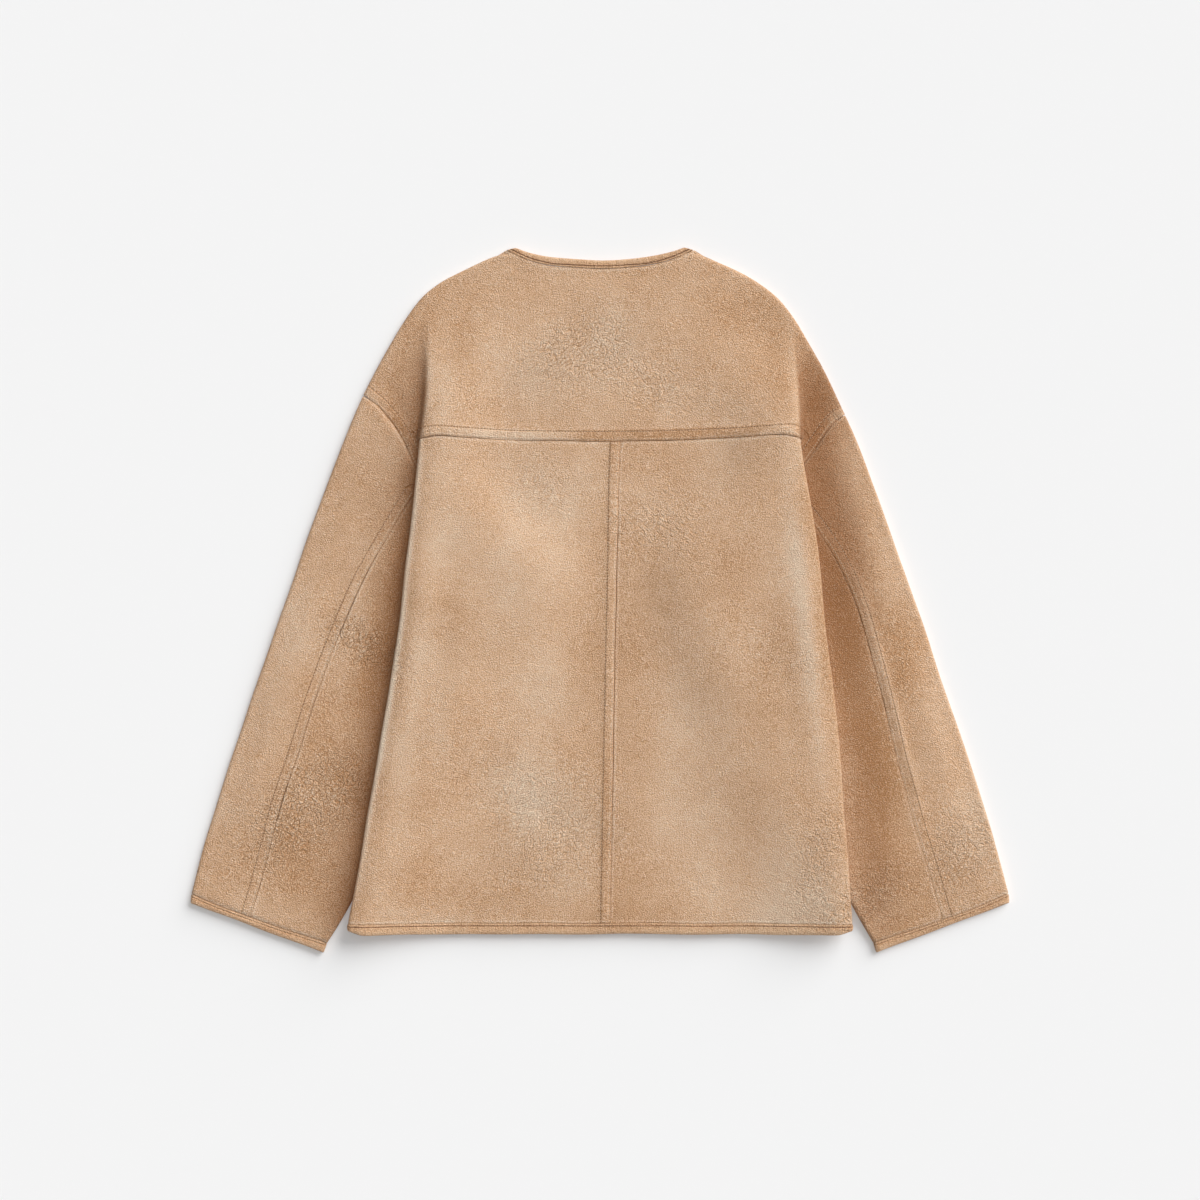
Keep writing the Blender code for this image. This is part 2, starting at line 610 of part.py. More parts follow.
def front_panel(side, material):
    """A front: flat on the floor, turned in at its side fold, open along the centre."""
    neck = Path(FRONT_NECK[::-1])
    low_height = side.armhole.at(side.front_share)[1]
    under = ROLL_UNDER + SEAM_GAP
    edge = FRONT_EDGE + HALF_SEAM

    def front_fold(height):
        return side.fold(height) - FRONT_TUCK

    rows = []
    for height in FRONT_ROWS + [low_height - 6]:
        fold = front_fold(height) - EDGE_INSET
        row = [(mix(edge, fold, c.low), height, FLOOR_LEVEL) for c in FRONT_COLUMNS]
        row.append((fold, height, FLOOR_LEVEL))
        centre = np.array([fold, height])
        row += turn(centre, np.array([1.0, 0.0]), FLOOR_LEVEL + PITCH, FLOOR_LEVEL, 4)[::-1]
        if height > UNDERARM:
            share = (low_height - height) / (low_height - UNDERARM)
            end = side.armhole.at(mix(side.front_share, 1.0, share))
        else:
            end = np.array([side.side_seam(height), height])
        row += [(*mix(centre, end, s), FLOOR_LEVEL + PITCH) for s in (0.0, 0.33, 0.67, 1.0)]
        rows.append(row)
    crease_high = shoulder_spot(side, 2, under)[0]

    def crease(share):
        height = mix(low_height, crease_high[1], share)
        return np.array([mix(front_fold(height), crease_high[0], blend(share, 0.2, 1.0)), height])

    stations = np.linspace(0, 1, len(FRONT_COLUMNS) + 1)

    def low(station):
        share = np.interp(station, stations, [c.low for c in FRONT_COLUMNS] + [1.0])
        return mix(np.array([edge, low_height]), crease(0), share)

    def high(station):
        place = np.interp(station, stations, [c.high for c in FRONT_COLUMNS] + [2.0])
        if place <= 1:
            away = neck.normal(place) * HALF_SEAM
            return neck.at(place) + away
        return shoulder_spot(side, place, under)[0]

    body = patch(line(low(0), (edge, high(0)[1])), crease, low, high)
    drop = patch(crease, side.armhole.part(side.front_share, 0.0),
                 line(crease(0), side.armhole.at(side.front_share)),
                 lambda s: shoulder_spot(side, 2 + s, under)[0])

    def level(out, height, crease_out):
        return mix(FLOOR_LEVEL, side.sleeve_lower(out, height),
                   blend(out - crease_out, -FRONT_STEP, FRONT_STEP))

    for up in FRONT_UP:
        row = []
        crease_out = crease(up)[0]
        for station in stations[:-1]:
            spot = body(station, up)
            row.append((*spot, level(*spot, crease_out)))
        span = np.linalg.norm(drop(1, up) - drop(0, up))
        step = FRONT_STEP * min(1.0, span / 24)
        shares = [-0.6 * step / span, 0.0, 0.6 * step / span]
        last = 1 - 1.5 * SEAM_GAP / span
        shares += [mix(1.2 * step / span, last, s) for s in (0, 0.3, 0.55, 0.8, 1)]
        for across in shares:
            spot = drop(across, up)
            row.append((*spot, level(*spot, crease_out)))
        rows.append(row)
    wall("front_" + side.name, placed(rows, side.sign), material, flip=side.sign < 0)


# ---- the sleeves
SLEEVE_UP = [0.0, 0.05, 0.13, 0.22, 0.32, 0.42, 0.52, 0.62, 0.72, 0.82, 0.92, 1.0]


class Sleeve:
    """A flattened tube between the armhole and the cuff's seam."""

    def __init__(self, side):
        self.side = side
        seam_start = side.armhole.at(side.join)
        self.seam = Path([Point(*seam_start)] + SLEEVE_SEAM[side.name]).at
        self.cuff = Path(CUFF_SEAM)
        inner_points = [Point(getattr(row, side.name), row.height) for row in SLEEVE_INNER]
        self.inner_path = Path(inner_points)
        seam_end = self.seam(1.0)
        self.cuff_share = min(np.linspace(0, 1, 400),
                              key=lambda s: np.linalg.norm(self.cuff.at(s) - seam_end))
        self.outer = side.edge.part(side.cap, 1.0)
        self.inner = self.inner_path.offset(-EDGE_INSET).part(0.0, 1.0)
        self.facing = {         # outward across each of the tube's two folds
            "outer": lambda up: -side.outline.normal(mix(side.cap, 1.0, up)),
            "inner": lambda up: self.inner_path.normal(up),
        }
        cuff_outer = self.fit(self.cuff, self.outer(1.0))
        cuff_inner = self.fit(self.cuff, self.inner(1.0))
        self.cuff_ends = (cuff_outer, cuff_inner)
        self.top = patch(self.seam, self.outer, side.armhole.part(side.join, 0.0),
                         self.cuff.part(self.cuff_share, cuff_outer))
        inset = 1 - EDGE_INSET / side.armhole.length
        self.under = patch(self.seam, self.inner, side.armhole.part(side.join, inset),
                           self.cuff.part(self.cuff_share, cuff_inner))

    @staticmethod
    def fit(path, spot):
        return min(np.linspace(0, 1, 800), key=lambda s: np.linalg.norm(path.at(s) - spot))

    def crest(self, spot):
        """Air inside the sleeve, none where the body lies on it or at its edges."""
        out, height = spot
        beyond = out - self.side.fold(height)
        edge_share = self.side.outline.share_at_height(height)
        room = self.side.outline.at(edge_share)[0] - out
        cuff = blend(height, -330, -230)
        return SLEEVE_LOFT * blend(beyond, 4, 30) * blend(room, 6, 34) * cuff

    def upper(self, spot):
        return self.side.sleeve_upper(*spot) + self.crest(spot)

    def lower(self, spot):
        return self.side.sleeve_lower(*spot)

    def row(self, read, up, near_seam, edge_name):
        """From the back seam over the upper wall, round the edge and back below."""
        length = np.linalg.norm(read(0.5, 1.0) - read(0.5, 0.0))
        up = mix(HALF_SEAM, length - HALF_SEAM, up) / length
        seam, edge = read(0.0, up), read(1.0, up)
        width = np.linalg.norm(edge - seam)
        shares = [d / width for d in near_seam]
        shares += [mix(shares[-1], 1.0, s) for s in YOKE_UP[:-1]]
        points = []
        for share in shares:
            spot = read(share, up)
            points.append((*spot, self.upper(spot)))
        points.append((*edge, self.upper(edge)))
        points += turn(edge, self.facing[edge_name](up), self.upper(edge), self.lower(edge))
        for share in (1.0, 0.75, 0.5, 0.25, SEAM_GAP / width):
            spot = read(share, up)
            points.append((*spot, self.lower(spot)))
        return points


def sleeve_panels(side, material, shade):
    sleeve = Sleeve(side)
    band = [HALF_SEAM, BAND_SLOPE, BAND_WIDTH - BAND_SLOPE, BAND_WIDTH]
    rows, extras = [], []
    for up in SLEEVE_UP:
        row = sleeve.row(sleeve.top, up, band, "outer")
        extra = np.zeros(len(row))
        for k in (1, 2):
            out, height = row[k][:2]
            extra[k] = BAND_RAISE * blend(out - side.fold(height), *BAND_FADE)
        rows.append(row)
        extras.append(extra)
    wall("top_sleeve_" + side.name, placed(rows, side.sign), material,
         outer=np.array(extras), flip=side.sign < 0)
    rows = [sleeve.row(sleeve.under, up, [HALF_SEAM, 2.5], "inner") for up in SLEEVE_UP]
    extra = np.zeros((len(rows), len(rows[0])))
    extra[:, 0] = -SEAM_DIP
    wall("under_sleeve_" + side.name, placed(rows, side.sign), shade, outer=extra,
         flip=side.sign > 0)
    return sleeve


# ---- the bindings
FRONT_EDGE_HEIGHTS = [234, 190, 110, 30, -50, -130, -210, -290, FRONT_HEM_EDGE]
BINDING_PROFILE = [     # share of the binding's width, added half thickness
    (0.03, 0.0), (0.16, BINDING_RAISE), (0.82, BINDING_RAISE), (1.0, -0.9),
]


def cuff_binding(sleeve, material):
    """A flattened ring round the cuff, from its seam to its edge."""
    side = sleeve.side
    outer_share, inner_share = sleeve.cuff_ends
    seam = sleeve.cuff
    edge_path = Path(CUFF_EDGE)
    edge_ends = (Sleeve.fit(edge_path, seam.at(outer_share) + np.array([1.0, -8.5])),
                 Sleeve.fit(edge_path, seam.at(inner_share) + np.array([2.0, -8.5])))
    shares = [0.0, 0.04, 0.16, 0.3, 0.45, 0.6, 0.75, 0.88, 0.96, 1.0]
    rows = []
    for along, _ in BINDING_PROFILE:
        plan = [mix(seam.at(mix(outer_share, inner_share, s)),
                    edge_path.at(mix(*edge_ends, s)), along) for s in shares]
        upper = [(*spot, sleeve.upper(spot)) for spot in plan]
        lower = [(*spot, sleeve.lower(spot)) for spot in plan]
        outer_turn = turn(plan[0], sleeve.facing["outer"](1.0), upper[0][2], lower[0][2])
        inner_turn = turn(plan[-1], sleeve.facing["inner"](1.0), upper[-1][2], lower[-1][2])
        rows.append(upper + inner_turn + lower[::-1] + outer_turn[::-1])
    # It is raised above only, and lies flat on the floor.
    extra = np.array([[raised] * len(shares) + [min(raised, 0.0)] * (len(rows[0]) - len(shares))
                      for _, raised in BINDING_PROFILE])
    wall("cuff_binding_" + side.name, placed(rows, side.sign), material, outer=extra,
         inner=np.minimum(extra, 0), closed=True, flip=side.sign < 0)


def hem_edge(out, fold):
    return HEM_EDGE + HEM_CORNER_RISE * blend(out, fold - 14, fold)


def hem_bindings(lines, material):
    """One binding along the back's hem, round both side folds, and one along each front."""
    def side_row(side, share):
        fold = side.fold(HEM_SEAM)
        row = back_row(side, "at", HEM_SEAM + HALF_SEAM, [HALF_SEAM])
        farthest = max(range(len(row)), key=lambda k: row[k][0])
        placed_row = []
        for k, (out, _, level) in enumerate(row):
            edge = hem_edge(out if k < farthest else fold, fold)
            placed_row.append((out, mix(HEM_SEAM - HALF_SEAM, edge, share), level))
        return placed_row

    rows, extra = [], []
    for share, raised in BINDING_PROFILE:
        left = placed(side_row(lines["left"], share), -1)
        right = placed(side_row(lines["right"], share), 1)
        rows.append(np.concatenate([left[::-1], right[1:]]))
        extra.append([raised] * len(rows[0]))
    extra = np.array(extra)
    wall("hem_binding_back", rows, material, outer=extra, inner=np.minimum(extra, 0), flip=True)
    for side in lines.values():
        fold = side.fold(HEM_SEAM) - FRONT_TUCK - EDGE_INSET
        end = side.side_seam(HEM_SEAM)
        rows = []
        for share, _ in BINDING_PROFILE:
            height = mix(HEM_SEAM - HALF_SEAM, FRONT_HEM_EDGE, share)
            start = FRONT_EDGE + SEAM_GAP
            row = [(mix(start, fold, c.low), height, FLOOR_LEVEL) for c in FRONT_COLUMNS[::2]]
            row.append((fold, height, FLOOR_LEVEL))
            centre = np.array([fold, height])
            row += turn(centre, np.array([1.0, 0.0]), FLOOR_LEVEL + PITCH, FLOOR_LEVEL, 4)[::-1]
            row += [(mix(fold, end, s), height, FLOOR_LEVEL + PITCH) for s in (0, 0.5, 1)]
            rows.append(row)
        flat = np.array([[min(raised, 0.0)] * len(rows[0]) for _, raised in BINDING_PROFILE])
        wall("hem_binding_front_" + side.name, placed(rows, side.sign), material,
             outer=flat, inner=flat, flip=side.sign > 0)


def neck_bindings(lines, material):
    seam, edge = Path(NECK_SEAM), Path(NECK_EDGE)
    shares = [0.0, 0.2, 0.4, 0.6, 0.75, 0.87, 0.95, 0.995]
    rows = []
    for along, _ in BINDING_PROFILE:
        half = [mix(seam.at(s) + np.array([0, HALF_SEAM]), edge.at(s), along) for s in shares]
        right = [(*spot, FLOOR_LEVEL + PITCH) for spot in half]
        left = [(-out, height, level) for out, height, level in right[:0:-1]]
        rows.append(left + right)
    extra = np.array([[raised] * len(rows[0]) for _, raised in BINDING_PROFILE])
    wall("neck_binding", rows, material, outer=extra, inner=np.minimum(extra, 0))
    for side in lines.values():
        front_binding(side, material)


def front_binding(side, material):
    """Along the front's neckline and on down its edge, flat on the floor."""
    neck = Path(FRONT_NECK)
    width = FRONT_EDGE - BINDING_GAP
    neckline = [c.high for c in FRONT_COLUMNS if c.high < 1][::-1]
    rows = []
    for along, _ in BINDING_PROFILE:
        reach = HALF_SEAM + width * along
        row = []
        for place in [0.97] + neckline:
            spot = neck.at(1 - place) + neck.normal(1 - place) * reach
            row.append((max(spot[0], BINDING_GAP), spot[1], FLOOR_LEVEL))
        for height in FRONT_EDGE_HEIGHTS:
            row.append((FRONT_EDGE - reach, height, FLOOR_LEVEL))
        rows.append(row)
    flat = np.array([[min(raised, 0.0)] * len(rows[0]) for _, raised in BINDING_PROFILE])
    wall("front_binding_" + side.name, placed(rows, side.sign), material, outer=flat,
         inner=flat, flip=side.sign < 0)


def main():
    for thing in list(bpy.data.objects):
        bpy.data.objects.remove(thing, do_unlink=True)
    lines = {name: SideLines(name) for name in SIDES}
    yoke(lines, cloth("suede yoke", SUEDE, 0.85))
    for side in lines.values():
        back_panel(side, cloth("suede back " + side.name, SUEDE, 0.85))
        front_panel(side, cloth("suede front " + side.name, SUEDE, 0.85))
        sleeve = sleeve_panels(side, cloth("suede top sleeve " + side.name, SUEDE, 0.85),
                               cloth("suede under sleeve " + side.name, SUEDE_SHADE, 0.85))
        cuff_binding(sleeve, cloth("cuff binding " + side.name, BINDING, 0.7))
    hem_bindings(lines, cloth("hem binding", BINDING, 0.7))
    neck_bindings(lines, cloth("neck binding", BINDING, 0.7))


main()
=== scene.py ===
"""The looks of a suede-faced, collarless short coat, laid flat on its front.

Each cloth piece is a finer shell on its own solid. All shells take the same creases, read from
the plan, so pieces that are sewn to each other or lie on each other stay so. Tables are in
millimetres in the plan of the frame: x to the right and y towards the neck. Meshes are in metres.
"""
import math
from collections import namedtuple

import bmesh
import bpy
import numpy as np
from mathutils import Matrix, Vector
from mathutils.bvhtree import BVHTree


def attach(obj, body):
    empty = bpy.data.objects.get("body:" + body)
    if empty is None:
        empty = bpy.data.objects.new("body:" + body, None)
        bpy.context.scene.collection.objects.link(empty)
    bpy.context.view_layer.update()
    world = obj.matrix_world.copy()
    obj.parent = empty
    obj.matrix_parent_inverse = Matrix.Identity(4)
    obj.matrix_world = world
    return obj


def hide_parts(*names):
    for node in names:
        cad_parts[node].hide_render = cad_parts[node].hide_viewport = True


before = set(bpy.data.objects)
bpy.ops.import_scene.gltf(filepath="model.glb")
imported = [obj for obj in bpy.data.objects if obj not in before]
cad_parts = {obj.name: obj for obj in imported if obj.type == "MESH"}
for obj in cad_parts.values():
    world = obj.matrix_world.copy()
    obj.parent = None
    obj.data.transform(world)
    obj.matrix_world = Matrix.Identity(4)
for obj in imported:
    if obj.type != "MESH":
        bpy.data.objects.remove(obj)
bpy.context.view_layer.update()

MM = 0.001

# ---- the cloth and its sewing, in millimetres
BAND_WIDTH = 11.0               # topstitched seam bands
BAND_RIM = (10.4, 11.8)         # where a band's look ends, away from its seam
BAND_HIDES = 0.5                # how much of the cloth's tones is lost under a band's own
BAND_ROWS = (1.7, 9.6)          # their two rows of stitches, from the seam
BINDING_ROWS = (2.6,)           # the row on a binding, from its seam
BINDING_RIM = (4.0, 8.0)        # where the painted highlight on a binding's rim begins and is full
BINDING_RIM_HIGHLIGHT = 0.6            # how much paler that painted highlight makes the rim
STITCH_PITCH = 3.0
THREAD = (2.1, 0.62, 0.34)      # length, width and height of a stitch
HOLE = (0.95, 0.8, 0.12)        # and of the dimple at each end of it
BEAD_RINGS = [(-0.5, 0.35), (-0.3, 0.9), (0.0, 1.0), (0.3, 0.9), (0.5, 0.35)]   # place, girth
BEAD_SIDES = 6
BEAD_DIP = 0.4                  # how far its ends dip in, in heights
BEAD_LIFT = 0.05
COVERED = 0.5                   # a stitch under more cloth than this is left out

# ---- the shells, in millimetres
SMOOTHING = 2                   # levels
SPLITS = 3                      # times that long edges are halved
LONGEST_EDGE = 6.0              # of a shell's faces
SAME_SPOT = 1e-3
FLAT_PAIR, SQUARE_PAIR = math.radians(35), math.radians(120)    # triangles that make a square
RIM_ANGLE, RIM_HOLD = math.radians(50), 0.85    # edges that the smoothing leaves tight
SHARP_ANGLE = math.radians(70)
FULL_HEIGHT = 9.0               # creases have their whole depth from here up
CREASE_STEP = 8.0               # between the points of a crease's line
CREASE_REACH = 3.0              # how many widths out a crease still counts
CREASE_END, CREASE_FADE = 0.08, 1.2     # how it dies out towards its ends
LYING_FLAT = 0.05               # the under side lifts only where its troughs are deeper
NARROW_GAP, WIDE_GAP = 0.3, 0.6     # how far a piece's edge is drawn in to its seam
DRAWN_PAST, DRAWN_WIDTH = 0.08, 4.0  # at most past the seam's line, and the width that moves
PUCKER_WAVES = ((8.3, 1.0), (13.1, 0.8))    # length and share of the waves along a seam
PUCKER_DEPTH = {"band": 0.16, "binding": 0.1}
PUCKER_WIDTH, PUCKER_REACH = 8.0, 20.0
SEAM_REACH, NO_SEAM = 30.0, 60.0    # how far seams are looked for, and what is past it
FOLD_REACH = 140.0              # how far the shade beside a side fold is worked out
FOLD_TOP = 90.0                 # the run in which it ends at the shoulder
FOLD_LOW = (190.0, 380.0)       # and in which it grows to its whole depth, up from the hem
FOLD_LIP = (-3.0, 1.5)          # where it sets in on the yoke, across the fold
SMOOTH_CLOTH = 0.1              # weight of the cloth without wrinkles, which slants neither way
FAR = 1e3

Spot = namedtuple("Spot", "x y")
Seam = namedtuple("Seam", "name kind band own other points")
Fold = namedtuple("Fold", "out reach power amount low points")
Crease = namedtuple("Crease", "width depth points")
Patch = namedtuple("Patch", "x y across along turn amount")
Cloth = namedtuple("Cloth", "node finish width length area held rests_on")
Waves = namedtuple("Waves", "height shortest longest count seed")

SWELL = Waves(0.45, 70, 190, 9, 11)
SIDEWAYS = (Waves(0.35, 60, 160, 7, 21), Waves(0.35, 60, 160, 7, 22))
CLOUDS = Waves(0.13, 60, 150, 8, 31)

BACKS = ("back_left", "back_right")
# kind: band or binding; band: which side of the line it lies on, going along, 1 left or -1 right;
# own: the pieces that carry it; other: the pieces that it is sewn to
SEAMS = [
    Seam("yoke", "band", 1, ("yoke",), BACKS,
         [Spot(-183, 158), Spot(-178, 161.2)]
         + [Spot(x, 158.8 + 7.0 * (x / 190) ** 2) for x in range(-165, 190, 25)]
         + [Spot(193, 165), Spot(199, 161)]),
    Seam("centre back", "band", -1, ("back_left",), ("back_right",), [
        Spot(19.6, 158), Spot(18, 110), Spot(17, 40), Spot(15, -60), Spot(13, -160),
        Spot(11.2, -250), Spot(9.8, -323.5)]),
    Seam("armhole left", "band", 1, ("yoke",), ("top_sleeve_left", "under_sleeve_left"), [
        Spot(-236.5, 206), Spot(-222, 194), Spot(-210, 180), Spot(-203, 170), Spot(-194, 154),
        Spot(-184, 133), Spot(-172, 119)]),
    Seam("armhole right", "band", -1, ("yoke",), ("top_sleeve_right", "under_sleeve_right"), [
        Spot(245.5, 187), Spot(233.5, 177), Spot(224, 165), Spot(216, 153), Spot(204.5, 137),
        Spot(192, 123)]),
    Seam("sleeve left", "band", -1, ("top_sleeve_left",), ("under_sleeve_left",), [
        Spot(-187, 106), Spot(-204, 78), Spot(-226, 40), Spot(-243.5, 7), Spot(-262.5, -38),
        Spot(-285, -100), Spot(-305, -161), Spot(-320.5, -209), Spot(-336.5, -271),
        Spot(-350, -318)]),
    Seam("sleeve right", "band", 1, ("top_sleeve_right",), ("under_sleeve_right",), [
        Spot(197, 95), Spot(215, 74), Spot(237.5, 40), Spot(254.5, 2), Spot(268, -42),
        Spot(283, -100), Spot(297, -160), Spot(309.5, -205), Spot(323, -251),
        Spot(343.5, -321)]),
    Seam("neck", "binding", 1, ("neck_binding",), ("yoke",), [
        Spot(-92, 349.5), Spot(-79, 343.5), Spot(-69, 339.5), Spot(-54, 335.5),
        Spot(-40, 333.5), Spot(0, 332), Spot(40, 333.5), Spot(54, 335.5), Spot(69, 339.5),
        Spot(79, 343.5), Spot(92, 349.5)]),
    Seam("hem", "binding", -1, ("hem_binding_back",), BACKS, [
        Spot(-250, -323.5), Spot(-200, -323.5), Spot(0, -323.5), Spot(200, -323.5),
        Spot(251, -323.5)]),
    Seam("cuff left", "binding", 1, ("cuff_binding_left",),
         ("top_sleeve_left", "under_sleeve_left"),
         [Spot(-407, -295), Spot(-370, -311), Spot(-316, -329.5), Spot(-276, -343)]),
    Seam("cuff right", "binding", -1, ("cuff_binding_right",),
         ("top_sleeve_right", "under_sleeve_right"),
         [Spot(407, -295), Spot(370, -311), Spot(316, -329.5), Spot(276, -343)]),
]
# The body's side folds, up from the hem. Beside them the sleeves and the yoke get painted shade.
# out: which side is outside, going up, 1 left or -1 right; low: how much of it is left at the hem
FOLDS = [
    Fold(1, 19.0, 1.1, 0.95, 1.0, [
        Spot(-252, -325), Spot(-243, -280), Spot(-229, -200), Spot(-212.5, -100),
        Spot(-200, -20), Spot(-193.5, 40), Spot(-187, 90), Spot(-183, 133), Spot(-180, 160),
        Spot(-175, 200), Spot(-173, 250), Spot(-172, 290)]),
    Fold(-1, 50.0, 4.0, 0.74, 0.5, [
        Spot(252, -325), Spot(249, -280), Spot(242.5, -200), Spot(235.5, -100), Spot(224, -20),
        Spot(219.5, 40), Spot(211, 90), Spot(203.5, 133), Spot(200, 160), Spot(199, 200),
        Spot(196, 250), Spot(190, 290)]),
]

# Creases of the side that shows; depth is up for a ridge and down for a trough.
CREASES = [
    # the back's panels
    Crease(13, 1.0, [Spot(-172, 120), Spot(-178, 20), Spot(-192, -90), Spot(-214, -230)]),
    Crease(16, -0.9, [Spot(-146, 130), Spot(-150, 20), Spot(-158, -90), Spot(-172, -200)]),
    Crease(34, 1.6, [Spot(-70, 140), Spot(-52, 40), Spot(-64, -90), Spot(-90, -210)]),
    Crease(26, -1.2, [Spot(-118, 60), Spot(-112, -60), Spot(-126, -170)]),
    Crease(30, -1.5, [Spot(150, 70), Spot(158, -60), Spot(166, -190)]),
    Crease(15, 1.5, [Spot(196, 250), Spot(200, 120), Spot(207, 0), Spot(219, -130),
                     Spot(232, -250)]),
    Crease(34, 1.4, [Spot(100, -120), Spot(118, -200), Spot(140, -290)]),
    Crease(22, -0.9, [Spot(48, 130), Spot(60, 40), Spot(52, -80)]),
    Crease(18, 0.7, [Spot(60, -240), Spot(20, -270), Spot(-50, -262), Spot(-110, -290)]),
    # the yoke
    Crease(26, 1.1, [Spot(-150, 290), Spot(-120, 240), Spot(-130, 190)]),
    Crease(24, -0.9, [Spot(-70, 300), Spot(-20, 262), Spot(10, 220)]),
    Crease(30, 1.0, [Spot(40, 300), Spot(90, 262), Spot(120, 200)]),
    Crease(16, -0.7, [Spot(140, 300), Spot(166, 262), Spot(172, 200)]),
    Crease(9, 0.6, [Spot(-172, 290), Spot(-170, 240), Spot(-173, 180)]),
    Crease(9, 0.6, [Spot(-206, 236), Spot(-196, 210), Spot(-190, 182)]),
    Crease(8, -0.5, [Spot(214, 232), Spot(208, 206), Spot(206, 180)]),
    # left sleeve
    Crease(22, 1.3, [Spot(-258, 120), Spot(-300, 0), Spot(-338, -120), Spot(-368, -230)]),
    Crease(16, -0.9, [Spot(-222, 110), Spot(-246, 56), Spot(-276, -10)]),
    Crease(20, -0.9, [Spot(-330, -60), Spot(-352, -140), Spot(-372, -250)]),
    Crease(14, 0.7, [Spot(-222, -160), Spot(-262, -190), Spot(-300, -222)]),
    Crease(12, -0.7, [Spot(-236, -130), Spot(-272, -168), Spot(-304, -196)]),
    # right sleeve
    Crease(20, 1.7, [Spot(272, 110), Spot(306, 10), Spot(332, -90), Spot(352, -190)]),
    Crease(18, -1.0, [Spot(300, 60), Spot(330, -40), Spot(362, -150), Spot(388, -250)]),
    Crease(5, 1.2, [Spot(222, 74), Spot(254, 24), Spot(279, -56), Spot(299, -130),
                    Spot(321, -214), Spot(340, -290)]),
    Crease(14, 0.8, [Spot(258, -214), Spot(286, -250), Spot(322, -276)]),
    Crease(12, -0.6, [Spot(362, -190), Spot(376, -226), Spot(366, -270)]),
]
# And of the side that lies on the floor, where the cloth lifts off it.
UNDER_CREASES = [
    Crease(16, 0.9, [Spot(-60, 150), Spot(-76, 40), Spot(-66, -90), Spot(-90, -220)]),
    Crease(12, 0.7, [Spot(-130, 100), Spot(-140, -30), Spot(-160, -150)]),
    Crease(18, 1.0, [Spot(52, 120), Spot(70, -10), Spot(62, -130), Spot(86, -250)]),
    Crease(12, 0.7, [Spot(136, 120), Spot(150, -40), Spot(170, -170)]),
    Crease(10, 0.6, [Spot(-30, -200), Spot(-90, -240), Spot(-150, -232)]),
    Crease(12, 0.7, [Spot(-290, 20), Spot(-330, -90), Spot(-366, -200)]),
    Crease(12, 0.7, [Spot(286, 30), Spot(320, -80), Spot(352, -190)]),
    Crease(9, 0.5, [Spot(-120, 250), Spot(-150, 200), Spot(-150, 160)]),
    Crease(9, 0.5, [Spot(124, 262), Spot(152, 210), Spot(150, 160)]),
]

# How the dye and the nap vary, with painted shade beside the side folds and painted highlights
# along them: amount is up for paler and down for darker.
TONES = [
    # left back panel
    Patch(-40, 60, 62, 150, 4, 0.36), Patch(-92, -60, 70, 110, -18, 0.12),
    # the pale strip at x -182 runs just inside the left fold: painted highlight
    Patch(-182, -40, 14, 260, -6, 0.3), Patch(-150, 80, 30, 44, 0, 0.35),
    Patch(-160, -135, 14, 42, 0, 0.35), Patch(-76, -195, 60, 54, 0, 0.45),
    Patch(-130, -165, 46, 40, 10, -0.1), Patch(-172, -280, 40, 34, 0, -0.3),
    Patch(-20, -245, 60, 40, 60, 0.12), Patch(-150, -322, 80, 14, 0, 0.35),
    # right back panel
    # the pale strip at x 194 runs along the ridge inside the right fold: painted highlight
    Patch(120, -240, 62, 110, 18, 0.26), Patch(194, 70, 17, 150, 4, 0.3),
    Patch(112, -90, 34, 60, 10, 0.3), Patch(202, -150, 20, 60, 0, -0.3),
    Patch(30, -35, 26, 40, 0, -0.35), Patch(45, -200, 28, 56, 0, -0.25),
    Patch(10, -25, 46, 84, 0, -0.3), Patch(186, -318, 50, 30, 10, 0.75),
    Patch(200, -255, 40, 40, 0, 0.25), Patch(80, 84, 38, 54, 0, 0.25),
    Patch(40, 110, 44, 90, 8, -0.15), Patch(168, -50, 26, 60, 6, -0.15),
    Patch(60, -250, 40, 70, 0, 0.1), Patch(20, -318, 110, 22, 0, -0.3),
    # yoke
    Patch(-158, 215, 15, 90, 0, 0.35), Patch(95, 205, 36, 30, 0, 0.3),
    Patch(-25, 250, 52, 40, 0, 0.3), Patch(60, 225, 60, 36, 0, 0.2),
    Patch(-150, 270, 70, 60, 0, -0.1), Patch(120, 250, 90, 60, 30, -0.1),
    Patch(0, 270, 80, 36, 0, 0.1), Patch(125, 280, 40, 26, 0, -0.25),
    # the dark patches at x -205 and 212 lie just outside the yoke's folds: painted shade
    Patch(184, 220, 16, 46, 0, -0.4), Patch(-205, 215, 16, 60, -10, -0.3),
    Patch(212, 205, 14, 60, 8, -0.3),
    # left sleeve
    Patch(-330, -90, 34, 90, -18, 0.2), Patch(-250, -50, 20, 60, -15, 0.35),
    Patch(-248, 118, 18, 30, 0, 0.25), Patch(-285, -110, 20, 40, 0, -0.25),
    # the dark strip at x -214 lies beside the body's left fold: painted shade
    Patch(-214, -20, 26, 170, -14, -0.5), Patch(-262, -150, 44, 130, -18, -0.15),
    Patch(-300, -270, 60, 50, 0, -0.25),
    # right sleeve
    Patch(336, -60, 20, 130, 16, 0.1), Patch(372, -190, 26, 90, 18, 0.1),
    Patch(302, -45, 20, 70, 14, -0.4), Patch(292, -85, 16, 30, 0, -0.3),
    Patch(352, -242, 26, 32, 0, 0.3), Patch(262, -262, 22, 40, 0, -0.25),
    # the dark strips at x 250 and 278 lie beside the body's right fold: painted shade
    Patch(250, -60, 26, 170, 14, -0.7), Patch(278, -200, 30, 120, 12, -0.3),
    Patch(305, -290, 50, 50, 0, -0.2),
]
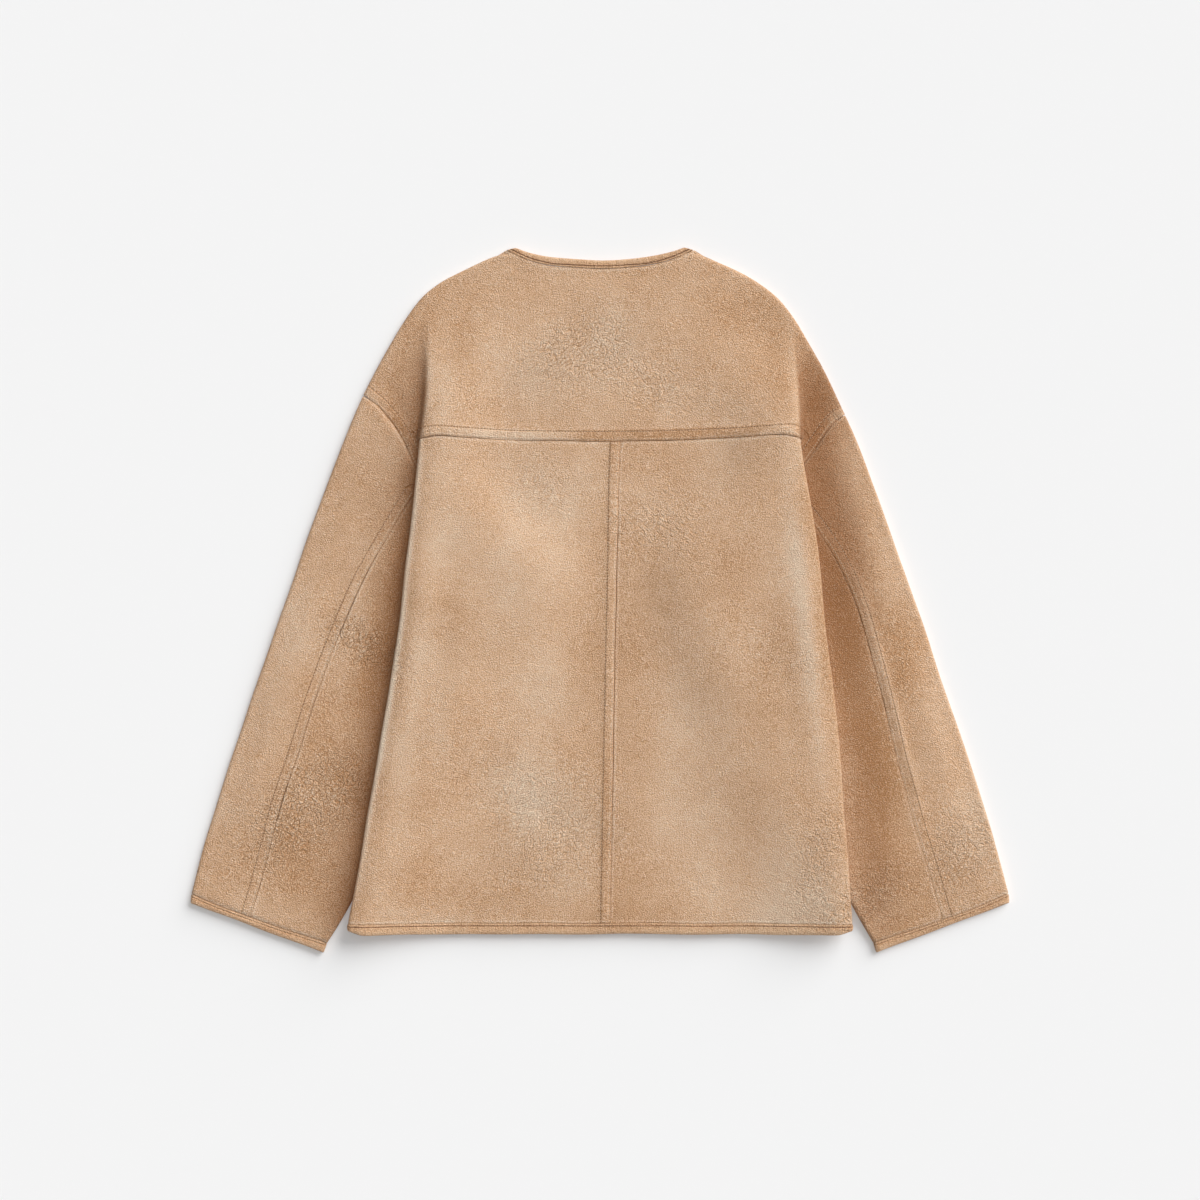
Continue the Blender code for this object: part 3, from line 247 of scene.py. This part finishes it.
# Paler lines along the folds' edges and along ridges: painted highlights.
HIGHLIGHT_LINES = [
    Crease(5, 0.5, [Spot(-172, 262), Spot(-171, 220), Spot(-175, 180)]),
    Crease(4, 1.5, [Spot(-178, 190), Spot(-180, 140), Spot(-185, 90), Spot(-191, 40),
                    Spot(-198, -20), Spot(-210, -100), Spot(-227, -200), Spot(-244, -300)]),
    Crease(6, 0.35, [Spot(188, 280), Spot(193, 240), Spot(196, 190), Spot(195, 164)]),
    Crease(10, 0.6, [Spot(191, 150), Spot(191, 90), Spot(197, 30), Spot(204, -20),
                     Spot(210, -70), Spot(218, -150), Spot(222, -210)]),
    Crease(4, 0.95, [Spot(222, 78), Spot(256, 20), Spot(281, -60), Spot(302, -140),
                     Spot(320, -210)]),
]
# The bands' tones, and painted shade on them beside the side folds.
BAND_TONES = [
    Patch(-90, 166, 60, 20, 0, 0.55), Patch(-6, 164, 22, 20, 0, -0.5),
    Patch(90, 168, 80, 20, 0, -0.55), Patch(178, 166, 16, 20, 0, 0.4),
    Patch(-205, 166, 16, 30, -30, -0.6), Patch(-228, 196, 16, 16, 0, 0.25),
    Patch(214, 160, 16, 24, 30, -0.4), Patch(238, 186, 12, 16, 0, 0.4),
    Patch(8, -220, 12, 90, 0, -0.3),
]
# Where the face is creased into fine wrinkles; turn is the way that they run.
WRINKLES = [
    Patch(-30, 250, 80, 40, 30, 0.8), Patch(60, 215, 80, 36, -20, 0.6),
    Patch(-275, -195, 50, 36, 42, 1.3), Patch(-235, -45, 24, 60, 60, 1.0),
    Patch(365, -250, 40, 60, -30, 0.9), Patch(260, -305, 26, 50, -50, 1.0),
    Patch(-40, -240, 110, 70, 45, 0.65), Patch(-120, -170, 60, 70, 60, 0.5),
    Patch(60, 80, 50, 60, -60, 0.6), Patch(-60, 110, 60, 50, 70, 0.5),
    Patch(180, -60, 40, 120, 80, 0.5), Patch(-150, 200, 60, 60, 20, 0.3),
    Patch(220, -250, 30, 90, -20, 0.7), Patch(-330, -240, 50, 70, -40, 0.6),
]

FRONTS = ["front_left", "front_right"]
CLOTHS = [              # width, length and area of the cut, in metres
    Cloth("yoke", "suede", 0.52, 0.27, 0.095, "laid", FRONTS),
    Cloth("back_left", "suede", 0.35, 0.50, 0.145, "folded", ["under_sleeve_left"] + FRONTS),
    Cloth("back_right", "suede", 0.35, 0.50, 0.145, "folded", ["under_sleeve_right"] + FRONTS),
    Cloth("front_left", "suede", 0.28, 0.68, 0.135, "folded", ["floor"]),
    Cloth("front_right", "suede", 0.28, 0.68, 0.135, "folded", ["floor"]),
    Cloth("top_sleeve_left", "suede", 0.20, 0.54, 0.075, "folded", ["floor"]),
    Cloth("top_sleeve_right", "suede", 0.20, 0.54, 0.075, "folded", ["floor"]),
    Cloth("under_sleeve_left", "suede", 0.24, 0.50, 0.10, "folded", ["floor"] + FRONTS),
    Cloth("under_sleeve_right", "suede", 0.24, 0.50, 0.10, "folded", ["floor"] + FRONTS),
    Cloth("neck_binding", "binding", 0.20, 0.015, 0.0026, "laid", ["yoke"]),
    Cloth("front_binding_left", "binding", 0.72, 0.014, 0.009, "laid", ["floor"]),
    Cloth("front_binding_right", "binding", 0.72, 0.014, 0.009, "laid", ["floor"]),
    Cloth("hem_binding_back", "binding", 0.62, 0.017, 0.0095, "folded", ["back_left"]),
    Cloth("hem_binding_front_left", "binding", 0.27, 0.016, 0.0037, "folded", ["floor"]),
    Cloth("hem_binding_front_right", "binding", 0.27, 0.016, 0.0037, "folded", ["floor"]),
    Cloth("cuff_binding_left", "binding", 0.29, 0.013, 0.0034, "laid", ["floor"]),
    Cloth("cuff_binding_right", "binding", 0.29, 0.013, 0.0034, "laid", ["floor"]),
]


# ---- lines in the plan
class Line:
    """A smooth line through spots, as dense points with the run along them."""

    def __init__(self, spots, step=3.0):
        p = np.array([tuple(spot) for spot in spots], float)
        ends = np.vstack([2 * p[0] - p[1], p, 2 * p[-1] - p[-2]])
        dense = [p[0]]
        for k in range(1, len(ends) - 2):
            a, b, c, d = ends[k - 1:k + 3]
            count = max(2, int(np.linalg.norm(c - b) / step))
            for t in np.linspace(0, 1, count + 1)[1:]:
                dense.append(0.5 * (2 * b + (c - a) * t + (2 * a - 5 * b + 4 * c - d) * t ** 2
                                    + (3 * b - a - 3 * c + d) * t ** 3))
        self.points = np.array(dense)
        gaps = np.linalg.norm(np.diff(self.points, axis=0), axis=1)
        self.run = np.concatenate([[0], np.cumsum(gaps)])
        self.length = self.run[-1]
        along = np.gradient(self.points, axis=0)
        self.along = along / np.linalg.norm(along, axis=1, keepdims=True)
        self.left = np.stack([-self.along[:, 1], self.along[:, 0]], axis=1)

    def nearest(self, plan, reach):
        """For plan points: signed distance to the line, left positive, run, and the line's left.

        Points out of reach get the distance FAR.
        """
        low, high = self.points.min(0) - reach, self.points.max(0) + reach
        inside = np.where(((plan > low) & (plan < high)).all(1))[0]
        away = np.full(len(plan), FAR)
        run = np.zeros(len(plan))
        left = np.zeros((len(plan), 2))
        if len(inside):
            apart = plan[inside, None, :] - self.points[None]
            closest = (apart ** 2).sum(2).argmin(1)
            chosen = apart[np.arange(len(inside)), closest]
            across = (chosen * self.left[closest]).sum(1)
            run[inside] = self.run[closest] + (chosen * self.along[closest]).sum(1)
            left[inside] = self.left[closest]
            past = (run[inside] < 0) | (run[inside] > self.length)
            beyond = np.copysign(np.linalg.norm(chosen, axis=1), across)
            away[inside] = np.where(past, beyond, across)
        return away, run, left

    def at(self, run):
        """Spot, direction and left side at a run along the line."""
        read = [np.interp(run, self.run, column) for source in (self.points, self.along, self.left)
                for column in source.T]
        return np.array(read[0:2]), np.array(read[2:4]), np.array(read[4:6])


SEAM_LINES = {seam.name: Line(seam.points) for seam in SEAMS}


def smooth(value, start, end):
    """Smooth step on arrays: 0 up to start and 1 past end."""
    t = np.clip((value - start) / (end - start), 0.0, 1.0)
    return t * t * (3 - 2 * t)


def swelling(plan, kind):
    """An even, seeded swell over the plan, about as high and as deep as its height."""
    draw = np.random.default_rng(kind.seed)
    total = np.zeros(len(plan))
    for _ in range(kind.count):
        angle, phase = draw.uniform(0, 2 * np.pi, 2)
        length = draw.uniform(kind.shortest, kind.longest)
        way = np.array([math.cos(angle), math.sin(angle)]) * 2 * np.pi / length
        total += np.sin(plan @ way + phase)
    return kind.height * (total / math.sqrt(kind.count))


def creased(plan, creases):
    """What a table of lines adds at plan points. Each dies out towards its ends."""
    total = np.zeros(len(plan))
    for crease in creases:
        line = Line(crease.points, CREASE_STEP)
        away, run, _ = line.nearest(plan, crease.width * CREASE_REACH)
        share = np.clip(run / line.length, 0, 1)
        fade = np.sin(np.pi * (CREASE_END + (1 - 2 * CREASE_END) * share)) ** CREASE_FADE
        total += crease.depth * fade * np.exp(-(away / crease.width) ** 2)
    return total


def patched(plan, patches):
    """Sum of soft, turned, oval patches at plan points."""
    total = np.zeros(len(plan))
    for patch in patches:
        turn = math.radians(patch.turn)
        x, y = plan[:, 0] - patch.x, plan[:, 1] - patch.y
        across = (x * math.cos(turn) + y * math.sin(turn)) / patch.across
        along = (y * math.cos(turn) - x * math.sin(turn)) / patch.along
        total += patch.amount * np.exp(-(across ** 2 + along ** 2))
    return total


def puckered(plan):
    """The small waves that the sewing draws into the bands and bindings."""
    total = np.zeros(len(plan))
    for k, seam in enumerate(SEAMS):
        away, run, _ = SEAM_LINES[seam.name].nearest(plan, PUCKER_REACH)
        wave = sum(share * np.sin(run * 2 * np.pi / length + (n + 1) * k)
                   for n, (length, share) in enumerate(PUCKER_WAVES))
        from_middle = (away * seam.band - BAND_WIDTH / 2) / PUCKER_WIDTH
        total += PUCKER_DEPTH[seam.kind] * wave * np.exp(-from_middle ** 2)
    return total


def drawn_in(plan, node):
    """Moves a piece's edge up to the seam, so that no gap shows between sewn pieces."""
    moved = np.zeros_like(plan)
    for seam in SEAMS:
        if node not in seam.own + seam.other:
            continue
        away, _, left = SEAM_LINES[seam.name].nearest(plan, DRAWN_WIDTH)
        gap = WIDE_GAP if "armhole" in seam.name else NARROW_GAP
        fade = np.clip(1 - np.abs(away) / DRAWN_WIDTH, 0, 1)
        reach = np.minimum(np.abs(away) + DRAWN_PAST, gap) * fade
        moved -= left * (np.sign(away) * reach)[:, None]
    return moved


def shift(plan):
    """How far the creases lift what shows and what lies below, and move it in the plan."""
    upper = creased(plan, CREASES) + swelling(plan, SWELL) + puckered(plan)
    lower = np.maximum(creased(plan, UNDER_CREASES) - LYING_FLAT, 0.0)
    sideways = np.stack([swelling(plan, kind) for kind in SIDEWAYS], axis=1)
    return upper, lower, sideways


# ---- the shells
def finer(node):
    """A copy of a node's surface: merged, smoothed, and split to short edges."""
    grid = bmesh.new()
    grid.from_mesh(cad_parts[node].data)
    bmesh.ops.remove_doubles(grid, verts=grid.verts, dist=SAME_SPOT * MM)
    bmesh.ops.join_triangles(grid, faces=grid.faces, angle_face_threshold=FLAT_PAIR,
                             angle_shape_threshold=SQUARE_PAIR)
    rims = grid.edges.layers.float.new("crease_edge")
    for edge in grid.edges:
        if len(edge.link_faces) == 2 and edge.calc_face_angle() > RIM_ANGLE:
            edge[rims] = RIM_HOLD
    mesh = bpy.data.meshes.new(node + " cloth")
    grid.to_mesh(mesh)
    grid.free()
    shell = bpy.data.objects.new(node + "_cloth", mesh)
    bpy.context.scene.collection.objects.link(shell)
    modifier = shell.modifiers.new("smooth", "SUBSURF")
    modifier.levels = modifier.render_levels = SMOOTHING
    with bpy.context.temp_override(object=shell, active_object=shell):
        bpy.ops.object.modifier_apply(modifier=modifier.name)
    grid = bmesh.new()
    grid.from_mesh(shell.data)
    for _ in range(SPLITS):
        long = [edge for edge in grid.edges if edge.calc_length() > LONGEST_EDGE * MM]
        if long:
            bmesh.ops.subdivide_edges(grid, edges=long, cuts=1, use_grid_fill=True,
                                      use_single_edge=True)
    grid.to_mesh(shell.data)
    grid.free()
    return shell


def read_points(mesh):
    """Where a mesh's points are, in metres."""
    points = np.empty(len(mesh.vertices) * 3)
    mesh.vertices.foreach_get("co", points)
    return points.reshape(-1, 3)


def write_values(mesh, name, values):
    """Keeps one number a point, for the materials."""
    layer = mesh.attributes.new(name, "FLOAT", "POINT")
    layer.data.foreach_set("value", np.asarray(values, np.float32))


def seams_near(plan, node, whole):
    """Distance to the nearest seam that a piece carries, or touches, and the run along it."""
    nearest, run_there = np.full(len(plan), FAR), np.zeros(len(plan))
    for seam in SEAMS:
        if node in (seam.own + seam.other if whole else seam.own):
            away, run, _ = SEAM_LINES[seam.name].nearest(plan, SEAM_REACH)
            closer = np.abs(away) < nearest
            nearest = np.where(closer, np.abs(away), nearest)
            run_there = np.where(closer, run, run_there)
    return np.minimum(nearest, NO_SEAM), run_there


def painted_fold_shade(plan, node):
    """How deep the painted shade is on the sleeves and the yoke beside the body's side folds."""
    shade = np.zeros(len(plan))
    for fold in FOLDS:
        line = Line(fold.points)
        away, run, _ = line.nearest(plan, FOLD_REACH)
        outside = np.maximum(away * fold.out, 0) / fold.reach
        fade = 1 - smooth(run, line.length - FOLD_TOP, line.length)
        fade *= fold.low + (1 - fold.low) * smooth(run, *FOLD_LOW)
        seen = np.abs(away) < FOLD_REACH
        if node == "yoke":
            seen = seen * smooth(away * fold.out, *FOLD_LIP)
        shade += fold.amount * fade * np.exp(-outside ** fold.power) * seen
    return shade


def paint(mesh, plan, node):
    """What the materials read: tone, shade, wrinkles, and the way across and along seams."""
    across, run = seams_near(plan, node, whole=False)
    band = 1 - smooth(across, *BAND_RIM)
    # tone: the dye's patches and clouds, with the painted shade and highlights from the tables
    tone = patched(plan, TONES) + swelling(plan, CLOUDS) + creased(plan, HIGHLIGHT_LINES)
    if "binding" in node:
        # painted highlight on a binding's rounded outer rim
        tone += BINDING_RIM_HIGHLIGHT * smooth(across, *BINDING_RIM)
    tone = tone * (1 - BAND_HIDES * band) + band * patched(plan, BAND_TONES)
    write_values(mesh, "tone", tone)
    write_values(mesh, "band", band)
    write_values(mesh, "across", across)
    write_values(mesh, "run", run)
    write_values(mesh, "edge", seams_near(plan, node, whole=True)[0])
    write_values(mesh, "wrinkle", patched(plan, WRINKLES))
    weights = [patched(plan, [patch._replace(amount=1.0)]) for patch in WRINKLES]
    rising = sum(weight for weight, patch in zip(weights, WRINKLES) if patch.turn > 0)
    write_values(mesh, "slant", rising / (sum(weights) + SMOOTH_CLOTH))
    # painted shade, only on the sleeves and the yoke beside the side folds
    shaded = "sleeve" in node or node == "yoke"
    write_values(mesh, "shade", painted_fold_shade(plan, node) if shaded else np.zeros(len(plan)))


def make_shell(cloth, materials):
    """The cloth of one piece, over its solid."""
    shell = finer(cloth.node)
    points = read_points(shell.data)
    plan = points[:, :2] / MM
    height = points[:, 2] / MM
    upper, lower, sideways = shift(plan)
    raised = np.clip(height / FULL_HEIGHT, 0, 1)
    paint(shell.data, plan, cloth.node)
    points[:, 2] = (height + upper * raised + lower * (1 - raised)) * MM
    points[:, :2] += (sideways + drawn_in(plan, cloth.node)) * MM
    shell.data.vertices.foreach_set("co", points.ravel())
    shell.data.shade_smooth()
    shell.data.set_sharp_from_angle(angle=SHARP_ANGLE)
    shell.data.materials.clear()
    shell.data.materials.append(materials[cloth.finish])
    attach(shell, "root")
    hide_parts(cloth.node)
    rests_on = [name if name == "floor" else name + "_cloth" for name in cloth.rests_on]
    return shell


# ---- the stitches
class Surface:
    """Shells as seen from above: the highest point over a spot of the plan."""

    ABOVE_ALL = 0.2
    DOWN = Vector((0, 0, -1))

    def __init__(self, shells):
        points, faces = [], []
        for shell in shells:
            base = len(points)
            points += [v.co.copy() for v in shell.data.vertices]
            faces += [tuple(base + i for i in face.vertices) for face in shell.data.polygons]
        self.tree = BVHTree.FromPolygons(points, faces)

    def at(self, plan):
        start = Vector((plan[0] * MM, plan[1] * MM, self.ABOVE_ALL))
        place, normal, _, _ = self.tree.ray_cast(start, self.DOWN)
        return place, normal


def add_bead(points, faces, place, way, normal, size):
    """One stitch, or the dimple beside it: a small rounded bar that dips in at both ends."""
    side = normal.cross(way).normalized()
    length, width, height = (value * MM for value in size)
    base = len(points)
    for share, girth in BEAD_RINGS:
        dip = BEAD_DIP * (2 * share) ** 2 * height
        middle = place + way * (share * length) + normal * (BEAD_LIFT * MM - dip)
        for k in range(BEAD_SIDES):
            angle = 2 * math.pi * k / BEAD_SIDES
            points.append(middle + side * (math.cos(angle) * width / 2 * girth)
                          + normal * (math.sin(angle) * height * girth))
    for ring in range(len(BEAD_RINGS) - 1):
        for k in range(BEAD_SIDES):
            a, b = base + ring * BEAD_SIDES + k, base + ring * BEAD_SIDES + (k + 1) % BEAD_SIDES
            faces.append((a, a + BEAD_SIDES, b + BEAD_SIDES, b))
    last = base + (len(BEAD_RINGS) - 1) * BEAD_SIDES
    faces.append(tuple(base + k for k in range(BEAD_SIDES)))
    faces.append(tuple(last + k for k in reversed(range(BEAD_SIDES))))


def joined(name, points, faces, material):
    """All stitches, or all holes, of one kind as a single piece."""
    mesh = bpy.data.meshes.new(name)
    mesh.from_pydata(points, [], faces)
    mesh.shade_smooth()
    mesh.materials.append(material)
    thing = bpy.data.objects.new(name, mesh)
    bpy.context.scene.collection.objects.link(thing)
    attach(thing, "root")


def make_stitches(kind, rows, shells, top, materials):
    """Rows of stitches along seams, where the piece that carries the seam shows.

    Steps along a seam are a stitch and the hole after it by turns. Only the last row, which is
    away from the seam on a band, has holes that show.
    """
    stitches, holes = ([], []), ([], [])
    for seam in SEAMS:
        if seam.kind != kind:
            continue
        own = Surface([shells[node] for node in seam.own])
        line = SEAM_LINES[seam.name]
        for row in rows:
            count = int(line.length / STITCH_PITCH)
            for k in range(2 * count):
                spot, along, left = line.at((k + 0.5) * line.length / (2 * count))
                spot = spot + left * seam.band * row
                place, normal = own.at(spot)
                if place is None or normal.z < 0.5:
                    continue
                if top.at(spot)[0].z > place.z + COVERED * MM:
                    continue
                way = Vector((along[0], along[1], 0))
                way = (way - normal * way.dot(normal)).normalized()
                if k % 2 == 0:
                    add_bead(*stitches, place, way, normal, THREAD)
                elif row == rows[-1]:
                    # a dark dimple: the painted shade of a needle hole
                    add_bead(*holes, place, way, normal, HOLE)
    joined(kind + "_stitches", *stitches, materials[kind + " thread"])
    joined(kind + "_stitch_holes", *holes, materials["hole"])


# ---- materials
class Number:
    """A shader socket that reads as a number; arithmetic on it adds Math nodes."""

    def __init__(self, shader, socket):
        self.shader, self.socket = shader, socket

    def math(self, operation, *values, clamp=False):
        settings = {"operation": operation, "use_clamp": clamp}
        return self.shader.node("ShaderNodeMath", settings, dict(enumerate(values)))

    def __add__(self, other):
        return self.math("ADD", self, other)

    def __sub__(self, other):
        return self.math("SUBTRACT", self, other)

    def __rsub__(self, other):
        return self.math("SUBTRACT", other, self)

    def __mul__(self, other):
        return self.math("MULTIPLY", self, other)

    __radd__ = __add__
    __rmul__ = __mul__

    def size(self):
        return self.math("ABSOLUTE", self)

    def clamped(self):
        return self.math("ADD", self, 0.0, clamp=True)

    def between(self, low, high):
        """0 up to low, 1 past high, smooth between."""
        settings = {"interpolation_type": "SMOOTHSTEP"}
        return self.shader.node("ShaderNodeMapRange", settings,
                                {"Value": self, "From Min": low, "From Max": high})

    def near(self, value, width):
        """1 at a value, down to 0 a width away from it."""
        return 1 - (self - value).size().between(0.0, width)


class Shader:
    """One material's nodes."""

    SHEEN_TINT = (0.95, 0.8, 0.66, 1)

    def __init__(self, name, roughness, sheen):
        self.material = bpy.data.materials.new(name)
        self.material.use_nodes = True
        self.tree = self.material.node_tree
        self.surface = self.tree.nodes["Principled BSDF"]
        self.surface.inputs["Roughness"].default_value = roughness
        self.surface.inputs["Specular IOR Level"].default_value = 0.25
        self.surface.inputs["Sheen Weight"].default_value = sheen
        self.surface.inputs["Sheen Roughness"].default_value = 0.45
        self.surface.inputs["Sheen Tint"].default_value = self.SHEEN_TINT

    def node(self, kind, settings=None, inputs=None, output=0):
        """A node of a kind, with its settings, then its sockets' values or links."""
        node = self.tree.nodes.new(kind)
        for key, value in (settings or {}).items():
            setattr(node, key, value)
        for key, value in (inputs or {}).items():
            socket = node.inputs[key]
            if isinstance(value, Number):
                self.tree.links.new(value.socket, socket)
            else:
                socket.default_value = value
        return Number(self, node.outputs[output])

    def attribute(self, name):
        """What paint wrote under a name."""
        return self.node("ShaderNodeAttribute", {"attribute_name": name}, output="Fac")

    def place(self, scale=(1, 1, 1), turn=0.0):
        """Object coordinates in millimetres, turned and then scaled."""
        raw = self.node("ShaderNodeTexCoord", output="Object")
        turned = self.node("ShaderNodeMapping", None, {
            "Vector": raw, "Rotation": (0, 0, math.radians(turn)), "Scale": (1000,) * 3})
        return self.node("ShaderNodeVectorMath", {"operation": "MULTIPLY"},
                         {0: turned, 1: scale})

    def noise(self, place, size, detail=2.0, rough=0.5, twist=0.0):
        """Even noise about 0, mostly within -0.5 and 0.5."""
        raw = self.node("ShaderNodeTexNoise", None, {
            "Vector": place, "Scale": 1 / size, "Detail": detail, "Roughness": rough,
            "Distortion": twist})
        return (raw - 0.5) * 2.0

    def mix(self, share, first, second, blend="MIX"):
        """The first colour at share 0 and the second at 1."""
        settings = {"data_type": "RGBA", "blend_type": blend}
        return self.node("ShaderNodeMix", settings, {0: share, 6: first, 7: second}, output=2)

    def grain(self, place, size):
        """Cells of a size: 0 at their edges, more towards their middles."""
        return self.node("ShaderNodeTexVoronoi", {"feature": "DISTANCE_TO_EDGE"}, {
            "Vector": place, "Scale": 1 / size})

    def bump(self, height, distance):
        return self.node("ShaderNodeBump", None, {
            "Height": height, "Strength": 1.0, "Distance": distance})

    def set(self, socket, value):
        """Feeds one socket of the surface."""
        self.tree.links.new(value.socket, self.surface.inputs[socket])


# the colour past pale: mostly painted highlight along edges and ridges, also the palest nap
PALEST_AND_HIGHLIGHT = (0.98, 0.84, 0.66, 1)
SHADE = (0.42, 0.27, 0.15, 1)           # what the painted shade beside the side folds is multiplied with
# painted shade in the crevice along each seam
SEAM_CREVICE_SHADE = (0.19, 0.07, 0.024, 1)
SUEDE = ((0.885, 0.695, 0.52, 1), (0.76, 0.487, 0.303, 1), (0.53, 0.275, 0.125, 1))
BINDING = ((0.87, 0.62, 0.41, 1), (0.75, 0.46, 0.27, 1), (0.49, 0.25, 0.12, 1))
TAN_THREAD = (0.68, 0.48, 0.32, 1)
BROWN_THREAD = (0.22, 0.09, 0.04, 1)
# painted shade of the needle holes, on the small dimples between stitches
NEEDLE_HOLE_SHADE = (0.17, 0.075, 0.03, 1)
# sizes of the face's marks, in millimetres, and the height of the whole relief, in metres
CLOUD_SIZE, BLOTCH_SIZE, SPECK_SIZE, GRAIN_SIZE = 34, 9, 1.25, 1.9
WRINKLE_SIZE, HATCH_SIZE, FIBRE_SIZE = 3.4, 1.9, 0.5
RELIEF = 0.0012


def suede(name, stitched, colours):
    """Brushed suede face: broad tones, a cloudy dye, leather grain and fine wrinkles, with painted
    shade and highlights.

    stitched: how far from the seam its rows of stitches lie. colours: pale, middle and deep.
    """
    shader = Shader(name, 0.9, 0.1)
    pale, middle, deep = colours
    place = shader.place()
    wrinkle, slant = shader.attribute("wrinkle"), shader.attribute("slant")
    across, run = shader.attribute("across"), shader.attribute("run")
    band, edge = shader.attribute("band"), shader.attribute("edge")
    broad = shader.attribute("tone") + shader.noise(place, CLOUD_SIZE, 3.0, 0.55, 0.3) * 0.28
    fresh = 1.25 - broad * 0.8 + wrinkle * 0.6
    blotches = shader.noise(place, BLOTCH_SIZE, 3.0, 0.6)
    specks = shader.noise(place, SPECK_SIZE, 1.0, 0.6)
    grain = shader.grain(place, GRAIN_SIZE).between(0.0, 0.3)
    # wrinkles are drawn out one way or the other, and break up into furrows where they are deep
    rising = shader.noise(shader.place((0.4, 1, 1), -46), WRINKLE_SIZE, 2.0, 0.6, 0.6)
    falling = shader.noise(shader.place((0.4, 1, 1), 36), WRINKLE_SIZE, 2.0, 0.6, 0.6)
    lines = rising * slant + falling * (1 - slant)
    crackle = shader.grain(shader.place((0.5, 1, 1), -48), WRINKLE_SIZE)
    furrows = (1 - crackle.between(0.0, 0.16)) * wrinkle.between(0.1, 0.9)
    # the pull of the stitches across a band
    hatch = shader.noise(shader.node("ShaderNodeCombineXYZ", None, {
        "X": run, "Y": across * 0.22}), HATCH_SIZE, 2.0, 0.6)
    # rows: the lines of stitches, darkened in the colour as painted shade in the groove they draw
    rows = across.near(stitched[0], 0.9) * 0.3 + across.near(stitched[-1], 1.1)
    fine = specks * 1.1 + (grain - 0.75) * 0.25
    # the wrinkles' lines and furrows are paler on their ridges and darker in their troughs:
    # painted shade and light besides the bump
    tone = broad + blotches * 0.35 + fine * fresh + (lines * 0.6 + 0.12) * wrinkle
    # edge.near: a paler strip beside each seam, painted light over the shade of the seam's step
    tone = tone - furrows * 0.32 + band * (hatch * 0.7 - rows * 0.75) + edge.near(2.2, 1.6) * 0.45
    colour = shader.mix((tone * -1).clamped(), middle, deep)
    colour = shader.mix(tone.clamped(), colour, pale)
    # past pale: painted highlight, and the palest nap
    colour = shader.mix((tone - 1).clamped(), colour, PALEST_AND_HIGHLIGHT)
    # painted shade beside the body's side folds
    colour = shader.mix(shader.attribute("shade").clamped(), colour,
                        shader.mix(1.0, colour, SHADE, "MULTIPLY"))
    # painted shade in the crevice along each seam
    colour = shader.mix((1 - edge.between(0.0, 0.7)) * 0.8, colour, SEAM_CREVICE_SHADE)
    shader.set("Base Color", colour)
    height = grain * 0.5 + specks * 0.6 + lines * (wrinkle * 1.1 + 0.15)
    height = height - furrows * 0.7 + band * (hatch * 0.4 - rows * 0.6)
    shader.set("Normal", shader.bump(height, RELIEF))
    shader.set("Roughness", 0.93 - specks * 0.08)
    return shader.material


def thread(name, colour):
    """Spun thread, its fibres in a darker tone of its colour."""
    shader = Shader(name, 0.6, 0.1)
    fibres = shader.noise(shader.place(), FIBRE_SIZE, 2.0, 0.6)
    dark = tuple(c * 0.6 for c in colour[:3]) + (1,)
    shader.set("Base Color", shader.mix((fibres + 0.5).clamped(), dark, colour))
    return shader.material


# ---- the stage
FLOOR_ACROSS = 8
FLOOR_GREY = (0.9, 0.9, 0.9, 1)
SUN_DISTANCE = 3.0
CAMERA_HEIGHT = 3.0                     # over the coat's middle, which is MIDDLE_HEIGHT up
MIDDLE_HEIGHT = 0.01
PICTURE_ACROSS = 1.2                    # metres of floor
SENSOR = 36


def add_sun(name, way_to_it, width, strength, shadows=True):
    """Even, soft light from a direction; width is how much of the sky it fills, in degrees."""
    data = bpy.data.lights.new(name, "SUN")
    data.energy = strength
    data.angle = math.radians(width)
    data.use_shadow = shadows
    light = bpy.data.objects.new(name, data)
    light.location = Vector(way_to_it).normalized() * SUN_DISTANCE
    light.rotation_euler = Vector(way_to_it).to_track_quat("Z", "Y").to_euler()
    bpy.context.scene.collection.objects.link(light)


def make_stage():
    """A pale floor, a wide window up and to the right, and soft light from above."""
    bpy.ops.mesh.primitive_plane_add(size=FLOOR_ACROSS, location=(0, 0, 0))
    floor = bpy.context.object
    floor.name = "floor"
    shader = Shader("pale floor", 0.9, 0.0)
    shader.surface.inputs["Base Color"].default_value = FLOOR_GREY
    shader.surface.inputs["Specular IOR Level"].default_value = 0.0
    floor.data.materials.append(shader.material)
    add_sun("window", (0.58, 0.58, 0.44), 50, 3.62)
    add_sun("ceiling", (0.1, 0.1, 1.0), 60, 0.55)
    add_sun("fill", (0.0, 0.0, 1.0), 10, 0.69, shadows=False)
    world = bpy.data.worlds.new("studio")
    world.use_nodes = True
    background = world.node_tree.nodes["Background"]
    background.inputs["Color"].default_value = (1, 1, 1, 1)
    background.inputs["Strength"].default_value = 0.07
    bpy.context.scene.world = world
    bpy.context.scene.view_settings.view_transform = "Standard"


def make_camera():
    """Straight above, as for the photograph."""
    data = bpy.data.cameras.new("camera")
    data.sensor_width = SENSOR
    data.lens = SENSOR * CAMERA_HEIGHT / PICTURE_ACROSS
    camera = bpy.data.objects.new("camera", data)
    camera.location = (0, 0, CAMERA_HEIGHT + MIDDLE_HEIGHT)
    bpy.context.scene.collection.objects.link(camera)
    bpy.context.scene.camera = camera


def main():
    make_stage()
    make_camera()
    materials = {
        "suede": suede("suede face", BAND_ROWS, SUEDE),
        "binding": suede("suede binding", BINDING_ROWS, BINDING),
        "band thread": thread("tan thread", TAN_THREAD),
        "binding thread": thread("brown thread", BROWN_THREAD),
        "hole": thread("stitch hole", NEEDLE_HOLE_SHADE),
    }
    shells = {cloth.node: make_shell(cloth, materials) for cloth in CLOTHS}
    top = Surface(shells.values())
    make_stitches("band", BAND_ROWS, shells, top, materials)
    make_stitches("binding", BINDING_ROWS, shells, top, materials)


main()
